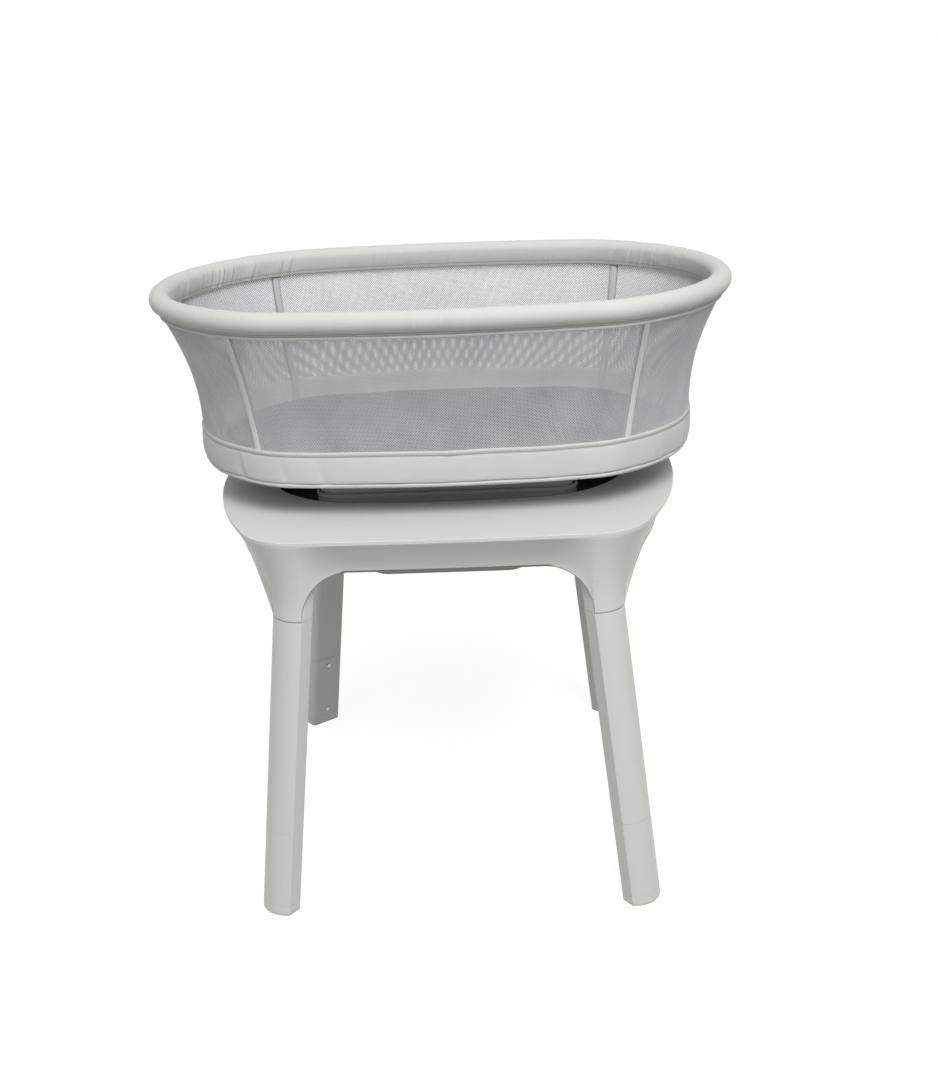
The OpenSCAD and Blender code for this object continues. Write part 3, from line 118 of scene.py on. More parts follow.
def make_piece(name, points, faces, uv=None, smooth=True, closed=True):
    """A mesh object from points (n, 3) and faces (m, k) given as whole arrays, with one UV per
    point where uv is given. A closed shell whose signed volume, the sum of the faces' corner
    triple products, comes out negative has its faces turned to point outwards."""
    points = np.asarray(points, np.float64).reshape(-1, 3)
    faces = np.asarray(faces, np.int32)
    if closed:
        a, b, c = points[faces[:, 0]], points[faces[:, 1]], points[faces[:, 2]]
        d = points[faces[:, -1]]
        if (np.einsum("ij,ij->i", a, np.cross(b, c)) + np.einsum("ij,ij->i", a, np.cross(c, d))).sum() < 0:
            faces = faces[:, ::-1]
    sides = faces.shape[1]
    mesh = bpy.data.meshes.new(name)
    mesh.vertices.add(len(points))
    mesh.vertices.foreach_set("co", points.astype(np.float32).ravel())
    mesh.loops.add(faces.size)
    mesh.loops.foreach_set("vertex_index", np.ascontiguousarray(faces).ravel())
    mesh.polygons.add(len(faces))
    mesh.polygons.foreach_set("loop_start", np.arange(0, faces.size, sides, dtype=np.int32))
    mesh.update(calc_edges=True)
    mesh.polygons.foreach_set("use_smooth", np.full(len(mesh.polygons), smooth))
    if uv is not None:
        layer = mesh.uv_layers.new(name="cloth")
        flat = np.asarray(uv, np.float32).reshape(-1, 2)[faces.ravel()]
        layer.data.foreach_set("uv", flat.ravel())
    piece = bpy.data.objects.new(name, mesh)
    bpy.context.scene.collection.objects.link(piece)
    return piece


def welded(piece):
    """Merges points that lie on each other, which closes poles and end caps."""
    work = bmesh.new()
    work.from_mesh(piece.data)
    bmesh.ops.remove_doubles(work, verts=work.verts, dist=1e-6)
    work.to_mesh(piece.data)
    work.free()
    return piece


def bumps(s, places, width, sizes=1.0):
    """Sum of smooth bumps, exp of minus the squared distance over width, at places round the
    basket."""
    gap = np.mod(s[..., None] - places + ROUND / 2, ROUND) - ROUND / 2
    return (np.exp(-(gap / width) ** 2) * sizes).sum(-1)


def ripples(s, seed, waves, low, high):
    """Seeded sum of sines round the basket, each a whole number of waves, scaled to about 1."""
    rng = np.random.default_rng(seed)
    counts = rng.integers(low, high, waves)
    phases = rng.uniform(0, 2 * np.pi, waves)
    sizes = rng.uniform(0.4, 1.0, waves)
    angle = 2 * np.pi * s[..., None] / ROUND * counts + phases
    return (np.sin(angle) * sizes).sum(-1) / np.sqrt((sizes**2).sum())


def smooth_line(line, count):
    """A closed line of points resampled and rounded off with a periodic cubic between them
    (Catmull-Rom: the tangent is half the gap between the neighbours)."""
    p = np.array(line) * 0.001
    n = len(p)
    t = np.linspace(0, n, count, endpoint=False)
    i = np.floor(t).astype(int)
    f = (t - i)[:, None]
    a, b, c, d = p[(i - 1) % n], p[i % n], p[(i + 1) % n], p[(i + 2) % n]
    return b + 0.5 * f * (c - a + f * (2 * a - 5 * b + 4 * c - d + f * (3 * (b - c) + d - a)))


def cloth_ring(name, line, steps, count, move):
    """A closed section carried round the basket; move(s, section) returns how far each point
    shifts outwards and upwards. U runs round the basket and V along the section, in metres."""
    section = smooth_line(line, count)
    s = np.linspace(0, ROUND, steps, endpoint=False)[:, None]
    shift_out, shift_up = move(s, section)
    walk = np.concatenate([[0], np.cumsum(np.hypot(*np.diff(section, axis=0).T))])[None, :]
    uv = np.stack(np.broadcast_arrays(s, walk), -1)
    points = around(s, section[None, :, 0] + shift_out, section[None, :, 1] + shift_up)
    return make_piece(name, points, grid_quads(steps, count, True, True), uv)


def arc_line(x, z, radius, turns):
    """Points of an arc of a section: its middle plus the radius at turns in degrees."""
    a = np.radians(turns)
    return list(zip(x + radius * np.cos(a), z + radius * np.sin(a)))


ROLL = (40, 827, 13.8)
WALL_FLARE, RIM_Z, ROLL_R = mm(*ROLL)
ROLL_LINE = arc_line(*ROLL, np.arange(-82, 182, 12)) + [
    (26.3, 823.4), (26.6, 819.5), (27.2, 815.6), (28.0, 812.0), (28.8, 808.8), (29.6, 806.2), (30.5, 805.2),
    (31.5, 806.4), (32.1, 809.6), (33.2, 812.6), (35.2, 814.2), (37.6, 813.5), (39.8, 813.2)]
FOLD_RNG = np.random.default_rng(4)
FOLDS = np.concatenate([
    FOLD_RNG.uniform(0, ROUND, 34),
    FOLD_RNG.uniform(0.20, 1.15, 22) * QUARTER,
    2 * QUARTER - FOLD_RNG.uniform(-0.1, 0.9, 20) * QUARTER])
FOLD_DEPTHS = FOLD_RNG.uniform(0.4, 1.1, len(FOLDS))
FOLD_SLANT = 0.25
FOLD_WIDTH, HOLLOW_WIDTH, HOLLOW_SHIFT = mm(1.6, 5.0, 3.0)
COVER_ENDS = FRONT + np.array(mm(-22, 10))


def roll_move(s, section):
    """The roll swells and sinks by 0.35 mm. Sharp folds, each with a shallow hollow beside it,
    gather the facing; they run a little aslant and are gone at the roll's crown. Two stitch lines
    cross the roll at the front, where the cover's ends meet."""
    x, z = section[None, :, 0], section[None, :, 1]
    inner = np.clip((mm(38) - x) / mm(8), 0, 1) * np.clip((mm(840) - z) / mm(16), 0, 1)
    aslant = s + (z - RIM_Z) * FOLD_SLANT
    bend = 0.45 + 0.55 * np.clip(np.abs(oval(s)[2][..., 0]) * 2 - 0.5, 0, 1)
    sharp = bumps(aslant, FOLDS, FOLD_WIDTH, FOLD_DEPTHS)
    broad = bumps(aslant, FOLDS + HOLLOW_SHIFT, HOLLOW_WIDTH, FOLD_DEPTHS)
    fold = (sharp * mm(1.9) - broad * mm(1.3)) * inner * bend
    angle = np.arctan2(z - RIM_Z, x - WALL_FLARE)
    on_roll = (np.hypot(x - WALL_FLARE, z - RIM_Z) > ROLL_R - mm(0.4)) & (z > mm(815))
    swell = (ripples(s, 7, 9, 3, 60) * mm(0.25) + ripples(s, 8, 7, 60, 150) * mm(0.10)) * on_roll
    stitched = -bumps(s, COVER_ENDS, mm(1.1)) * mm(0.55) * on_roll * (x > mm(36))
    radial = swell + stitched
    return radial * np.cos(angle) + fold, radial * np.sin(angle) + 0 * s


roll = cloth_ring("rim_roll", ROLL_LINE, 1500, 84, roll_move)
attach(roll, "basket")
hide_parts("rim_cover")


def socketed_group(name, inputs, outputs):
    """An empty shader node group with named sockets; inputs maps a name to (kind, default)."""
    group = bpy.data.node_groups.new(name, "ShaderNodeTree")
    for label, (kind, default) in inputs.items():
        socket = group.interface.new_socket(label, in_out="INPUT", socket_type="NodeSocket" + kind)
        if default is not None:
            socket.default_value = default
    for label, kind in outputs.items():
        group.interface.new_socket(label, in_out="OUTPUT", socket_type="NodeSocket" + kind)
    return group, group.nodes.new("NodeGroupInput"), group.nodes.new("NodeGroupOutput")


def feed(tree, node, links):
    """Links a node's inputs to sockets, or sets them to plain values."""
    for label, value in links.items():
        socket = node.inputs[label]
        if isinstance(value, bpy.types.NodeSocket):
            tree.links.new(value, socket)
        else:
            socket.default_value = value


def joined(tree, kind, links, **settings):
    """A new node of a kind in a tree, with its properties set and its inputs fed."""
    node = tree.nodes.new(kind)
    for label, value in settings.items():
        setattr(node, label, value)
    feed(tree, node, links)
    return node


def maths(tree, operation, a, b=0.5, c=0.5):
    """Output of a Math node."""
    return joined(tree, "ShaderNodeMath", {0: a, 1: b, 2: c}, operation=operation).outputs[0]


def shaded(tree, colour, light):
    """A colour times a light value."""
    return joined(tree, "ShaderNodeVectorMath", {0: colour, "Scale": light}, operation="SCALE").outputs[0]


def noise(tree, place, scale, detail, **more):
    """Value of a noise at a place."""
    links = {"Vector": place, "Scale": scale, "Detail": detail, **more}
    return joined(tree, "ShaderNodeTexNoise", links).outputs[0]


def weave_group():
    """Plain weave: threads cross as |sin| ridges in U and V, over and under alternately; a noise
    slubs the yarn. The colour is painted lighter on the crowns and darker in the hollows, as painted shade, and
    a broad noise clouds it with soil."""
    group, given, result = socketed_group(
        "plain weave",
        {"Vector": ("Vector", None), "Colour": ("Color", (0.7, 0.7, 0.7, 1)), "Threads": ("Float", 1400.0),
         "Contrast": ("Float", 0.12), "Clouding": ("Float", 0.06)},
        {"Colour": "Color", "Height": "Float", "Rough": "Float"})
    place, colour, threads, contrast, clouding = given.outputs[:5]
    parts = joined(group, "ShaderNodeSeparateXYZ", {0: place})
    u = maths(group, "MULTIPLY", parts.outputs[0], threads)
    v = maths(group, "MULTIPLY", parts.outputs[1], threads)
    warp = maths(group, "ABSOLUTE", maths(group, "SINE", u))
    weft = maths(group, "ABSOLUTE", maths(group, "SINE", v))
    over = maths(group, "MULTIPLY", maths(group, "COSINE", u), maths(group, "COSINE", v))
    side = maths(group, "GREATER_THAN", over, 0.0)
    height = joined(group, "ShaderNodeMix", {0: side, 2: warp, 3: weft}, data_type="FLOAT").outputs[0]
    slub = noise(group, place, 420.0, 3.0)
    cloud = noise(group, place, 14.0, 3.0)
    # Painted shade: the tone follows the threads' height, lighter on the crowns and darker between them.
    light = maths(group, "MULTIPLY_ADD", maths(group, "SUBTRACT", height, 0.6), contrast, 1.0)
    light = maths(group, "MULTIPLY_ADD", maths(group, "SUBTRACT", cloud, 0.5), clouding, light)
    feed(group, result, {
        "Colour": shaded(group, colour, light),
        "Height": maths(group, "MULTIPLY_ADD", slub, 0.4, height),
        "Rough": maths(group, "MULTIPLY_ADD", slub, 0.2, 0.55)})
    return group


def stitch_group():
    """One sewn row along U at a given V: a thread shows where V is within half a width of the row
    and U, in stitch lengths, is in the first 0.72 of each; the cloth dips for 2.2 widths beside it."""
    group, given, result = socketed_group(
        "stitch row", {"Vector": ("Vector", None), "Row": ("Float", 0.0), "Length": ("Float", 0.0034),
                       "Width": ("Float", 0.0007)}, {"Thread": "Float", "Dip": "Float"})
    place, row, length, width = given.outputs[:4]
    parts = joined(group, "ShaderNodeSeparateXYZ", {0: place})
    off = maths(group, "ABSOLUTE", maths(group, "SUBTRACT", parts.outputs[1], row))
    near = maths(group, "LESS_THAN", off, maths(group, "MULTIPLY", width, 0.5))
    step = maths(group, "FRACT", maths(group, "DIVIDE", parts.outputs[0], length))
    dash = maths(group, "LESS_THAN", step, 0.72)
    beside = maths(group, "MINIMUM", maths(group, "DIVIDE", off, maths(group, "MULTIPLY", width, 2.2)), 1.0)
    feed(group, result, {
        "Thread": maths(group, "MULTIPLY", near, dash),
        "Dip": maths(group, "SUBTRACT", 1.0, beside)})
    return group


WEAVE = weave_group()
STITCH = stitch_group()


def srgb(red, green, blue):
    """A display colour from 0 to 255 as a linear one."""
    c = np.array([red, green, blue]) / 255
    linear = np.where(c <= 0.04045, c / 12.92, ((c + 0.055) / 1.055) ** 2.4)
    return (*linear, 1.0)


def new_material(name):
    """A material with its node tree and its shader."""
    material = bpy.data.materials.new(name)
    material.use_nodes = True
    return material, material.node_tree, material.node_tree.nodes["Principled BSDF"]


# Painted shade in the dip beside a stitch row and a painted highlight on its raised threads, as shares of the
# tone, and their bump heights.
DIP_SHADE, DIP_DEPTH = -0.38, -3.0
THREAD_HIGHLIGHT, THREAD_HEIGHT = 0.30, 4.0


def fabric(name, colour, threads, contrast, depth, sheen=0.2, rows=(), own_uv=True):
    """A woven fabric: colour and roughness from the weave, its height and the stitch rows' dips
    and threads as bump. The dips are darkened with painted shade, and the raised threads lightened with a
    painted highlight."""
    material, tree, shader = new_material(name)
    place = joined(tree, "ShaderNodeTexCoord", {}).outputs["UV" if own_uv else "Object"]
    weave = joined(tree, "ShaderNodeGroup", {
        "Vector": place, "Colour": colour, "Threads": threads, "Contrast": contrast}, node_tree=WEAVE)
    tone, height = weave.outputs["Colour"], weave.outputs["Height"]
    for row in rows:
        stitch = joined(tree, "ShaderNodeGroup", {"Vector": place, "Row": row}, node_tree=STITCH)
        thread, dip = stitch.outputs["Thread"], stitch.outputs["Dip"]
        # Painted shade darkens the dip; below, a painted highlight lightens the thread.
        dark = maths(tree, "MULTIPLY_ADD", dip, DIP_SHADE, 1.0)
        tone = shaded(tree, tone, maths(tree, "MULTIPLY_ADD", thread, THREAD_HIGHLIGHT, dark))
        height = maths(tree, "MULTIPLY_ADD", dip, DIP_DEPTH, height)
        height = maths(tree, "MULTIPLY_ADD", thread, THREAD_HEIGHT, height)
    relief = joined(tree, "ShaderNodeBump", {"Height": height, "Distance": depth, "Strength": 0.6})
    feed(tree, shader, {
        "Base Color": tone, "Roughness": weave.outputs["Rough"], "Normal": relief.outputs[0],
        "Sheen Weight": sheen, "Sheen Roughness": 0.4, "Specular IOR Level": 0.35})
    return material


LIGHT_CLOTH = srgb(213, 216, 210)
COATED = (5200, 0.10, 0.00018)
# How far along its section, in metres, each piece is stitched.
SEWN_ROLL = 0.0796
roll.data.materials.append(fabric("rim cloth", LIGHT_CLOTH, *COATED, rows=(SEWN_ROLL,)))

# ---- Trim strip ------------------------------------------------------------------------------
# Under the roll the cover's outer edge is a flat strip 8 mm deep, folded and sewn along its middle
# over the mesh's top edge. Its ends overlap at the front.

TRIM_LINE = [(38.8, 813.6), (41.2, 813.5), (42.3, 812.4), (42.3, 810.9), (41.5, 810.0), (42.2, 809.2),
             (42.5, 807.8), (42.1, 806.4), (41.0, 805.8), (39.6, 805.9), (38.9, 807.4), (38.8, 810.6)]
SEWN_TRIM = 0.0064


def lapped(s, start, length):
    """1 on the overlap of a strip's ends: a step up at its start, a fade over 3 mm at its end."""
    past = np.mod(s - start + ROUND / 2, ROUND) - ROUND / 2
    return np.clip(past / mm(0.8), 0, 1) * np.clip((length - past) / mm(3), 0, 1)


def trim_move(s, section):
    """The strip waves by 0.2 mm in and out and 0.25 mm up and down, and steps out 0.7 mm where its
    ends overlap."""
    outer = (section[None, :, 0] > mm(40)).astype(float)
    wave = ripples(s, 11, 8, 6, 70) * mm(0.2) + lapped(s, FRONT - mm(16), mm(20)) * mm(0.7) * outer
    return wave, ripples(s, 12, 6, 4, 30) * mm(0.25) + 0 * wave


trim = cloth_ring("rim_trim_strip", TRIM_LINE, 960, 48, trim_move)
trim.data.materials.append(fabric("trim cloth", srgb(214, 217, 213), *COATED, rows=(SEWN_TRIM,)))
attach(trim, "basket")
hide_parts("rim_trim")

# ---- Mesh walls ------------------------------------------------------------------------------
# Four panels of knitted polyester mesh with diamond holes in staggered rows. They flare outwards,
# are sewn to the trim above and the band below, and meet at the four seams.

BAND_TOP, MESH_TOP, NET_TUCK = mm(649, 806, 1)
NET_HIGH = MESH_TOP - BAND_TOP + 2 * NET_TUCK
HOLE_PITCH = mm(3.6)
HOLE_SHARE = 0.58
YARN_DEPTH = mm(0.75)
YARN_CROWN, YARN_TAPER = 0.22, 0.97
# Mean width of a flared panel over its width at the band.
MEAN_SPREAD = 1.06
SEAM_BOW = mm(6)


def flare(share):
    """Outset of the mesh wall at a share of its height: the flare times the share squared."""
    return WALL_FLARE * share**2


def seam_bow(share):
    """How far a seam bows towards the basket's end at a share of the wall's height: a parabola,
    which makes the seams look straight on the flared wall."""
    return SEAM_BOW * 4 * share * (1 - share)


def diamond_net(name, start, stop, seed, bow):
    """Net between two lengths round the basket, tucked 1 mm behind the strips above and below. A
    cell is a diamond one pitch wide and high, in rows half a pitch apart; it holds a smaller
    diamond as its hole. Four sloping quads from the cell's edge to the hole are the crowned yarn
    and four more, going in, its thickness. The net lies on the wall and its sides bow with the
    seams; seeded folds pull it in near its lower corners, and it sags in a little between its
    edges."""
    cols = int(round((stop - start) * MEAN_SPREAD / HOLE_PITCH))
    rows = int(round(NET_HIGH * 2 / HOLE_PITCH))
    i, j = np.meshgrid(np.arange(rows), np.arange(cols + 1), indexing="ij")
    centre_u = (j + 0.5 * (i % 2)) / cols
    centre_v = (i + 0.5) / rows
    corner = np.array([[0.5, 0], [0, 1], [-0.5, 0], [0, -1]])
    scale = np.array([1, HOLE_SHARE, HOLE_SHARE * YARN_TAPER])
    u = centre_u[..., None, None] + corner[:, 0] * scale[:, None] / cols
    v = centre_v[..., None, None] + corner[:, 1] * scale[:, None] / rows
    deep = np.broadcast_to(np.array([0.0, YARN_CROWN, 1.0])[:, None] * YARN_DEPTH, u.shape)
    u, v = np.clip(u, 0, 1), np.clip(v, 0, 1)
    k = np.arange(4)
    ring = np.stack([k, (k + 1) % 4, 4 + (k + 1) % 4, 4 + k], -1)
    cells = np.arange(rows * (cols + 1))[:, None, None] * 12
    faces = (cells + np.concatenate([ring, ring + 4])[None]).reshape(-1, 4)
    u, v, deep = u.reshape(-1), v.reshape(-1), deep.reshape(-1)
    s = start + u * (stop - start) + seam_bow(v) * bow * (1 - 2 * u)
    height = BAND_TOP - NET_TUCK + v * NET_HIGH
    spread = np.stack([s, height], -1)[faces]
    across, down = spread[:, 2] - spread[:, 0], spread[:, 3] - spread[:, 1]
    area = np.abs(across[:, 0] * down[:, 1] - across[:, 1] * down[:, 0])
    wall = (np.arange(len(faces)) % 8) >= 4
    inside = (u[faces].max(1) - u[faces].min(1) > 0) & (v[faces].max(1) - v[faces].min(1) > 0)
    faces = faces[(area > 1e-10) | (wall & inside)]
    rng = np.random.default_rng(seed)
    pull = np.zeros_like(u)
    for side in (0.0, 1.0):
        for fold in rng.uniform(0.03, 0.20, 6):
            width = 0.006 + 0.008 * rng.random()
            line = np.abs(u - side) - fold - 0.10 * v * (1 + rng.random())
            pull += np.exp(-(line / width) ** 2) * np.clip(1 - v / 0.65, 0, 1) * rng.uniform(0.5, 1.2)
    sag = np.sin(np.pi * v) ** 2
    out = flare(v) - pull * mm(1.1) - mm(0.9) * sag + ripples(s, seed, 6, 5, 40) * np.sin(np.pi * v) * mm(0.4)
    points = around(s, out - deep, height)
    return make_piece(name, points, faces[:, ::-1], np.stack([s, height], -1), smooth=False, closed=False)


def mesh_yarn():
    """Grey polyester yarn: a fine noise for the twisted filaments, and a broad one for soil."""
    material, tree, shader = new_material("mesh yarn")
    place = joined(tree, "ShaderNodeTexCoord", {}).outputs["Object"]
    cloud = noise(tree, place, 18.0, 3.0)
    twist = noise(tree, place, 1600.0, 1.0)
    ramp = joined(tree, "ShaderNodeValToRGB", {0: maths(tree, "MULTIPLY_ADD", twist, 0.5, cloud)})
    dark, light = ramp.color_ramp.elements
    dark.position, dark.color = 0.45, srgb(176, 178, 181)
    light.position, light.color = 1.0, srgb(200, 202, 203)
    feed(tree, shader, {"Base Color": ramp.outputs[0], "Sheen Weight": 0.15,
                        "Roughness": maths(tree, "MULTIPLY_ADD", twist, 0.2, 0.4)})
    return material


GAP = mm(0.4)
yarn = mesh_yarn()
MESH_NODES = ("mesh_right", "mesh_back", "mesh_left", "mesh_front")
for number, (node, before, after) in enumerate(zip(MESH_NODES, (SEAMS[3] - ROUND, *SEAMS), SEAMS)):
    start, stop = before + GAP, after - GAP
    at_end = node in ("mesh_left", "mesh_right")
    net = diamond_net(node.replace("mesh", "net"), start, stop, 20 + number, 1 if at_end else -1)
    net.data.materials.append(yarn)
    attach(net, "basket")
    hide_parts(node)
    wide = stop - start
    if at_end:
        wide = wide * (1 + WALL_FLARE / RADII[0] / 3)

# ---- Seam tapes ------------------------------------------------------------------------------
# Twill tape covers the four seams outside. Inside, a second tape is sewn down as a pocket for the
# flat spring steel stay that holds the rim up.

TAPE_STEPS = 92


def tape_rows(at, bow, section, low, top, out_at, widths):
    """One tape: a closed section, as shares of the half width and depths, carried up the wall, with
    each end drawn to a point of its own as a cap. out_at(v, height) is the wall's outset."""
    height = np.concatenate([[low], np.linspace(low, top, TAPE_STEPS - 2), [top]])[:, None]
    v = np.clip((height - BAND_TOP) / (MESH_TOP - BAND_TOP), 0, 1)
    half = widths[0] + (widths[1] - widths[0]) * v
    full = np.ones_like(height)
    full[[0, -1]] = 0
    side = section[None, :, 0] * half * full + seam_bow(v) * bow
    out = out_at(v, height) + section[None, :, 1] * full
    walk = np.linspace(0, 2 * widths[0], len(section))[None, :] + 0 * height
    return around(at + side, out, height), np.stack([walk, height + 0 * walk], -1)


def tape_set(name, section, low, top, out_at, widths):
    """The four tapes as one mesh."""
    count = len(section)
    rows = [tape_rows(at, bow, section, low, top, out_at, widths) for at, bow in zip(SEAMS, (-1, 1, -1, 1))]
    faces = grid_quads(TAPE_STEPS, count, False, True)
    every = np.concatenate([faces + k * TAPE_STEPS * count for k in range(4)])
    return welded(make_piece(name, np.concatenate([r[0] for r in rows]), every,
                             np.concatenate([r[1] for r in rows])))


FLAT_TAPE = np.array([[-1, 0.0], [-1, 0.5], [-0.9, 1.0], [-0.72, 0.75], [-0.5, 1.05], [0, 1.15], [0.5, 1.05],
                      [0.72, 0.75], [0.9, 1.0], [1, 0.5], [1, 0.0], [0, -0.1]]) * [1, 0.001]
POCKET = np.array([[-1, -0.9], [-0.85, -0.5], [-0.5, -0.4], [0, -0.4], [0.5, -0.4], [0.85, -0.5], [1, -0.9],
                   [0.86, -3.0], [0.8, -4.6], [0.5, -5.4], [0, -5.6], [-0.5, -5.4], [-0.8, -4.6],
                   [-0.86, -3.0]]) * [1, 0.001]


def on_wall(v, height):
    """Outset of the wall's outer face; below the mesh the tape runs in behind the band's hem."""
    return flare(v) + 0 * height


def in_band(v, height):
    """Outset of a pocket's outer side: behind the mesh, and below it inside the band's lining."""
    below = np.clip((BAND_TOP + mm(14) - height) / mm(20), 0, 1)
    return flare(v) - mm(0.6) - mm(3.1) * below**2


TWILL = (2600, 0.35, 0.0003)
twill = fabric("twill tape", srgb(222, 225, 222), *TWILL)
outer_tapes = tape_set("seam_tapes", FLAT_TAPE, mm(646), mm(807.5), on_wall, mm(4.6, 3.9))
stay_pockets = tape_set("stay_pockets", POCKET, mm(615), mm(812.6), in_band, mm(5.8, 5.4))
pocket_cloth = fabric("pocket cloth", srgb(188, 190, 190), *TWILL)
for piece, cloth in ((outer_tapes, twill), (stay_pockets, pocket_cloth)):
    piece.data.materials.append(cloth)
    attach(piece, "basket")
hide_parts("seam_strips")

# ---- Lower band ------------------------------------------------------------------------------
# Padded band of the same coated fabric round the base. A folded binding 6 mm deep is sewn along
# its upper edge over the mesh, its ends lapped at the front; piping finishes the lower edge.

BAND_LINE = [(0.3, 648.9), (1.2, 648.7), (1.7, 646.8), (1.7, 644.2), (0.8, 642.9), (1.3, 641.6), (1.9, 638.6),
             (2.3, 633.4), (2.5, 626.0), (2.3, 618.0), (1.8, 611.6), (1.0, 607.8), (-0.6, 606.0), (-2.2, 605.4),
             (-3.6, 606.0), (-4.1, 612.0), (-4.1, 622.0), (-4.1, 632.0), (-4.0, 641.0), (-3.4, 647.0),
             (-1.6, 648.9)]
PUCKER_RNG = np.random.default_rng(9)
PUCKERS = np.concatenate([seam + PUCKER_RNG.uniform(-0.09, 0.09, 7) for seam in SEAMS])
PUCKER_DEPTHS = PUCKER_RNG.uniform(0.3, 1.0, len(PUCKERS))
PUCKER_WIDTH = mm(6)
BINDING_LOW = mm(642.6)
PANEL_SEAM = np.array([4 * QUARTER - SEAM_AT + mm(2)])
SEWN_BAND = (0.0048, 0.0078)


def band_move(s, section):
    """Below the binding the band waves in and out by 0.7 mm, and soft puckers near the seams draw
    it in; both grow over 24 mm. The upper edge dips a little, the binding's end steps out 0.8 mm,
    and a panel seam makes a narrow upright groove at the right."""
    x, z = section[None, :, 0], section[None, :, 1]
    outer = np.clip((x + mm(2)) / mm(2.5), 0, 1)
    low = np.clip((mm(642) - z) / mm(24), 0, 1) * outer
    wave = ripples(s, 31, 9, 4, 34) * mm(0.5) + ripples(s, 34, 8, 30, 90) * mm(0.18)
    pucker = bumps(s + (z - mm(625)) * 0.2, PUCKERS, PUCKER_WIDTH, PUCKER_DEPTHS) * mm(1.3)
    binding = lapped(s, FRONT + mm(2), mm(17)) * mm(0.8) * outer * (z > BINDING_LOW)
    groove = bumps(s, PANEL_SEAM, mm(1.2)) * mm(0.6) * outer * (z < BINDING_LOW)
    return (wave - pucker) * low + binding - groove, ripples(s, 32, 7, 3, 26) * mm(0.5) + 0 * low


band = cloth_ring("lower_band_cover", BAND_LINE, 1400, 84, band_move)
band.data.materials.append(fabric("band cloth", srgb(215, 218, 214), *COATED, rows=SEWN_BAND))
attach(band, "basket")
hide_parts("lower_band")

PIPING_LINE = arc_line(-2.6, 602.6, 2.5, np.arange(0, 360, 24))


def piping_move(s, section):
    """The cord's waves follow the band's lower edge."""
    flat = 0 * section[None, :, 0]
    wave = ripples(s, 31, 9, 4, 34) * mm(0.35) - bumps(s, PUCKERS, PUCKER_WIDTH, PUCKER_DEPTHS) * mm(0.4)
    return wave + flat, ripples(s, 32, 7, 3, 26) * mm(0.35) + flat


piping = cloth_ring("band_piping_cord", PIPING_LINE, 1100, 20, piping_move)
piping.data.materials.append(fabric("piping cloth", LIGHT_CLOTH, *COATED))
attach(piping, "basket")
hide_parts("band_piping")

# ---- Turned-under hem ------------------------------------------------------------------------
# Under the basket the band's lining is turned in below the floor tube and gathered by an elastic
# cord in its edge.

HEM_LINE = [(-1.6, 600.0), (-3.0, 599.1), (-8.0, 598.7), (-15.0, 598.6), (-22.0, 598.8), (-25.6, 598.9),
            (-27.2, 599.8), (-26.8, 601.4), (-25.2, 601.9), (-23.9, 600.9), (-22.6, 599.6), (-15.0, 599.4),
            (-8.0, 599.6), (-3.4, 600.5)]


def hem_move(s, section):
    """Gathers: from nothing by the piping, the elastic edge sinks 0.4 mm in ripples of about 0.35 mm."""
    edge = np.clip((-mm(8) - section[None, :, 0]) / mm(18), 0, 1)
    return 0 * edge + 0 * s, (ripples(s, 41, 12, 60, 260) * 0.5 - 0.6) * mm(0.7) * edge


hem = cloth_ring("turned_hem", HEM_LINE, 1300, 42, hem_move)
hem.data.materials.append(fabric("hem cloth", srgb(200, 203, 198), 5200, 0.12, 0.00018))
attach(hem, "basket")

# ---- Mattress --------------------------------------------------------------------------------
# Foam pad in a blue-grey knit cover, laid loose on the floor board. The cover is drawn tight, so
# the foam crowns and the edge rounds.

PAD_LOW, PAD_INSET, PAD_THICK, PAD_SWELL = mm(614.95, 13.8, 10, 5.5)
PAD_STEPS = 320


def pad_form(inset, thick):
    """Closed oval pad: rings of the outline shrunk by a share, over an upper and a lower face that
    meet in a rounded edge, z = thick / 2 times (1 - share^20) to the power 0.5."""
    rim = 1 - 0.1 * (1 - np.sin(np.linspace(0, np.pi / 2, 10)))
    share = np.concatenate([np.linspace(0.0, 0.9, 26), rim[1:]])
    s = np.linspace(0, ROUND, PAD_STEPS, endpoint=False)
    edge = around(s, -inset, 0.0)[:, :2]
    rise = np.power(np.clip(1 - share**20, 0, 1), 0.5) * thick / 2
    middle = PAD_LOW + mm(0.6) + thick / 2
    level = np.concatenate([middle + rise, (middle - rise)[::-1][1:]])
    spread = np.concatenate([share, share[::-1][1:]])
    rings = np.concatenate([edge[None] * spread[:, None, None],
                            np.broadcast_to(level[:, None, None], (len(level), PAD_STEPS, 1))], -1)
    return rings, grid_quads(len(level), PAD_STEPS, False, True)


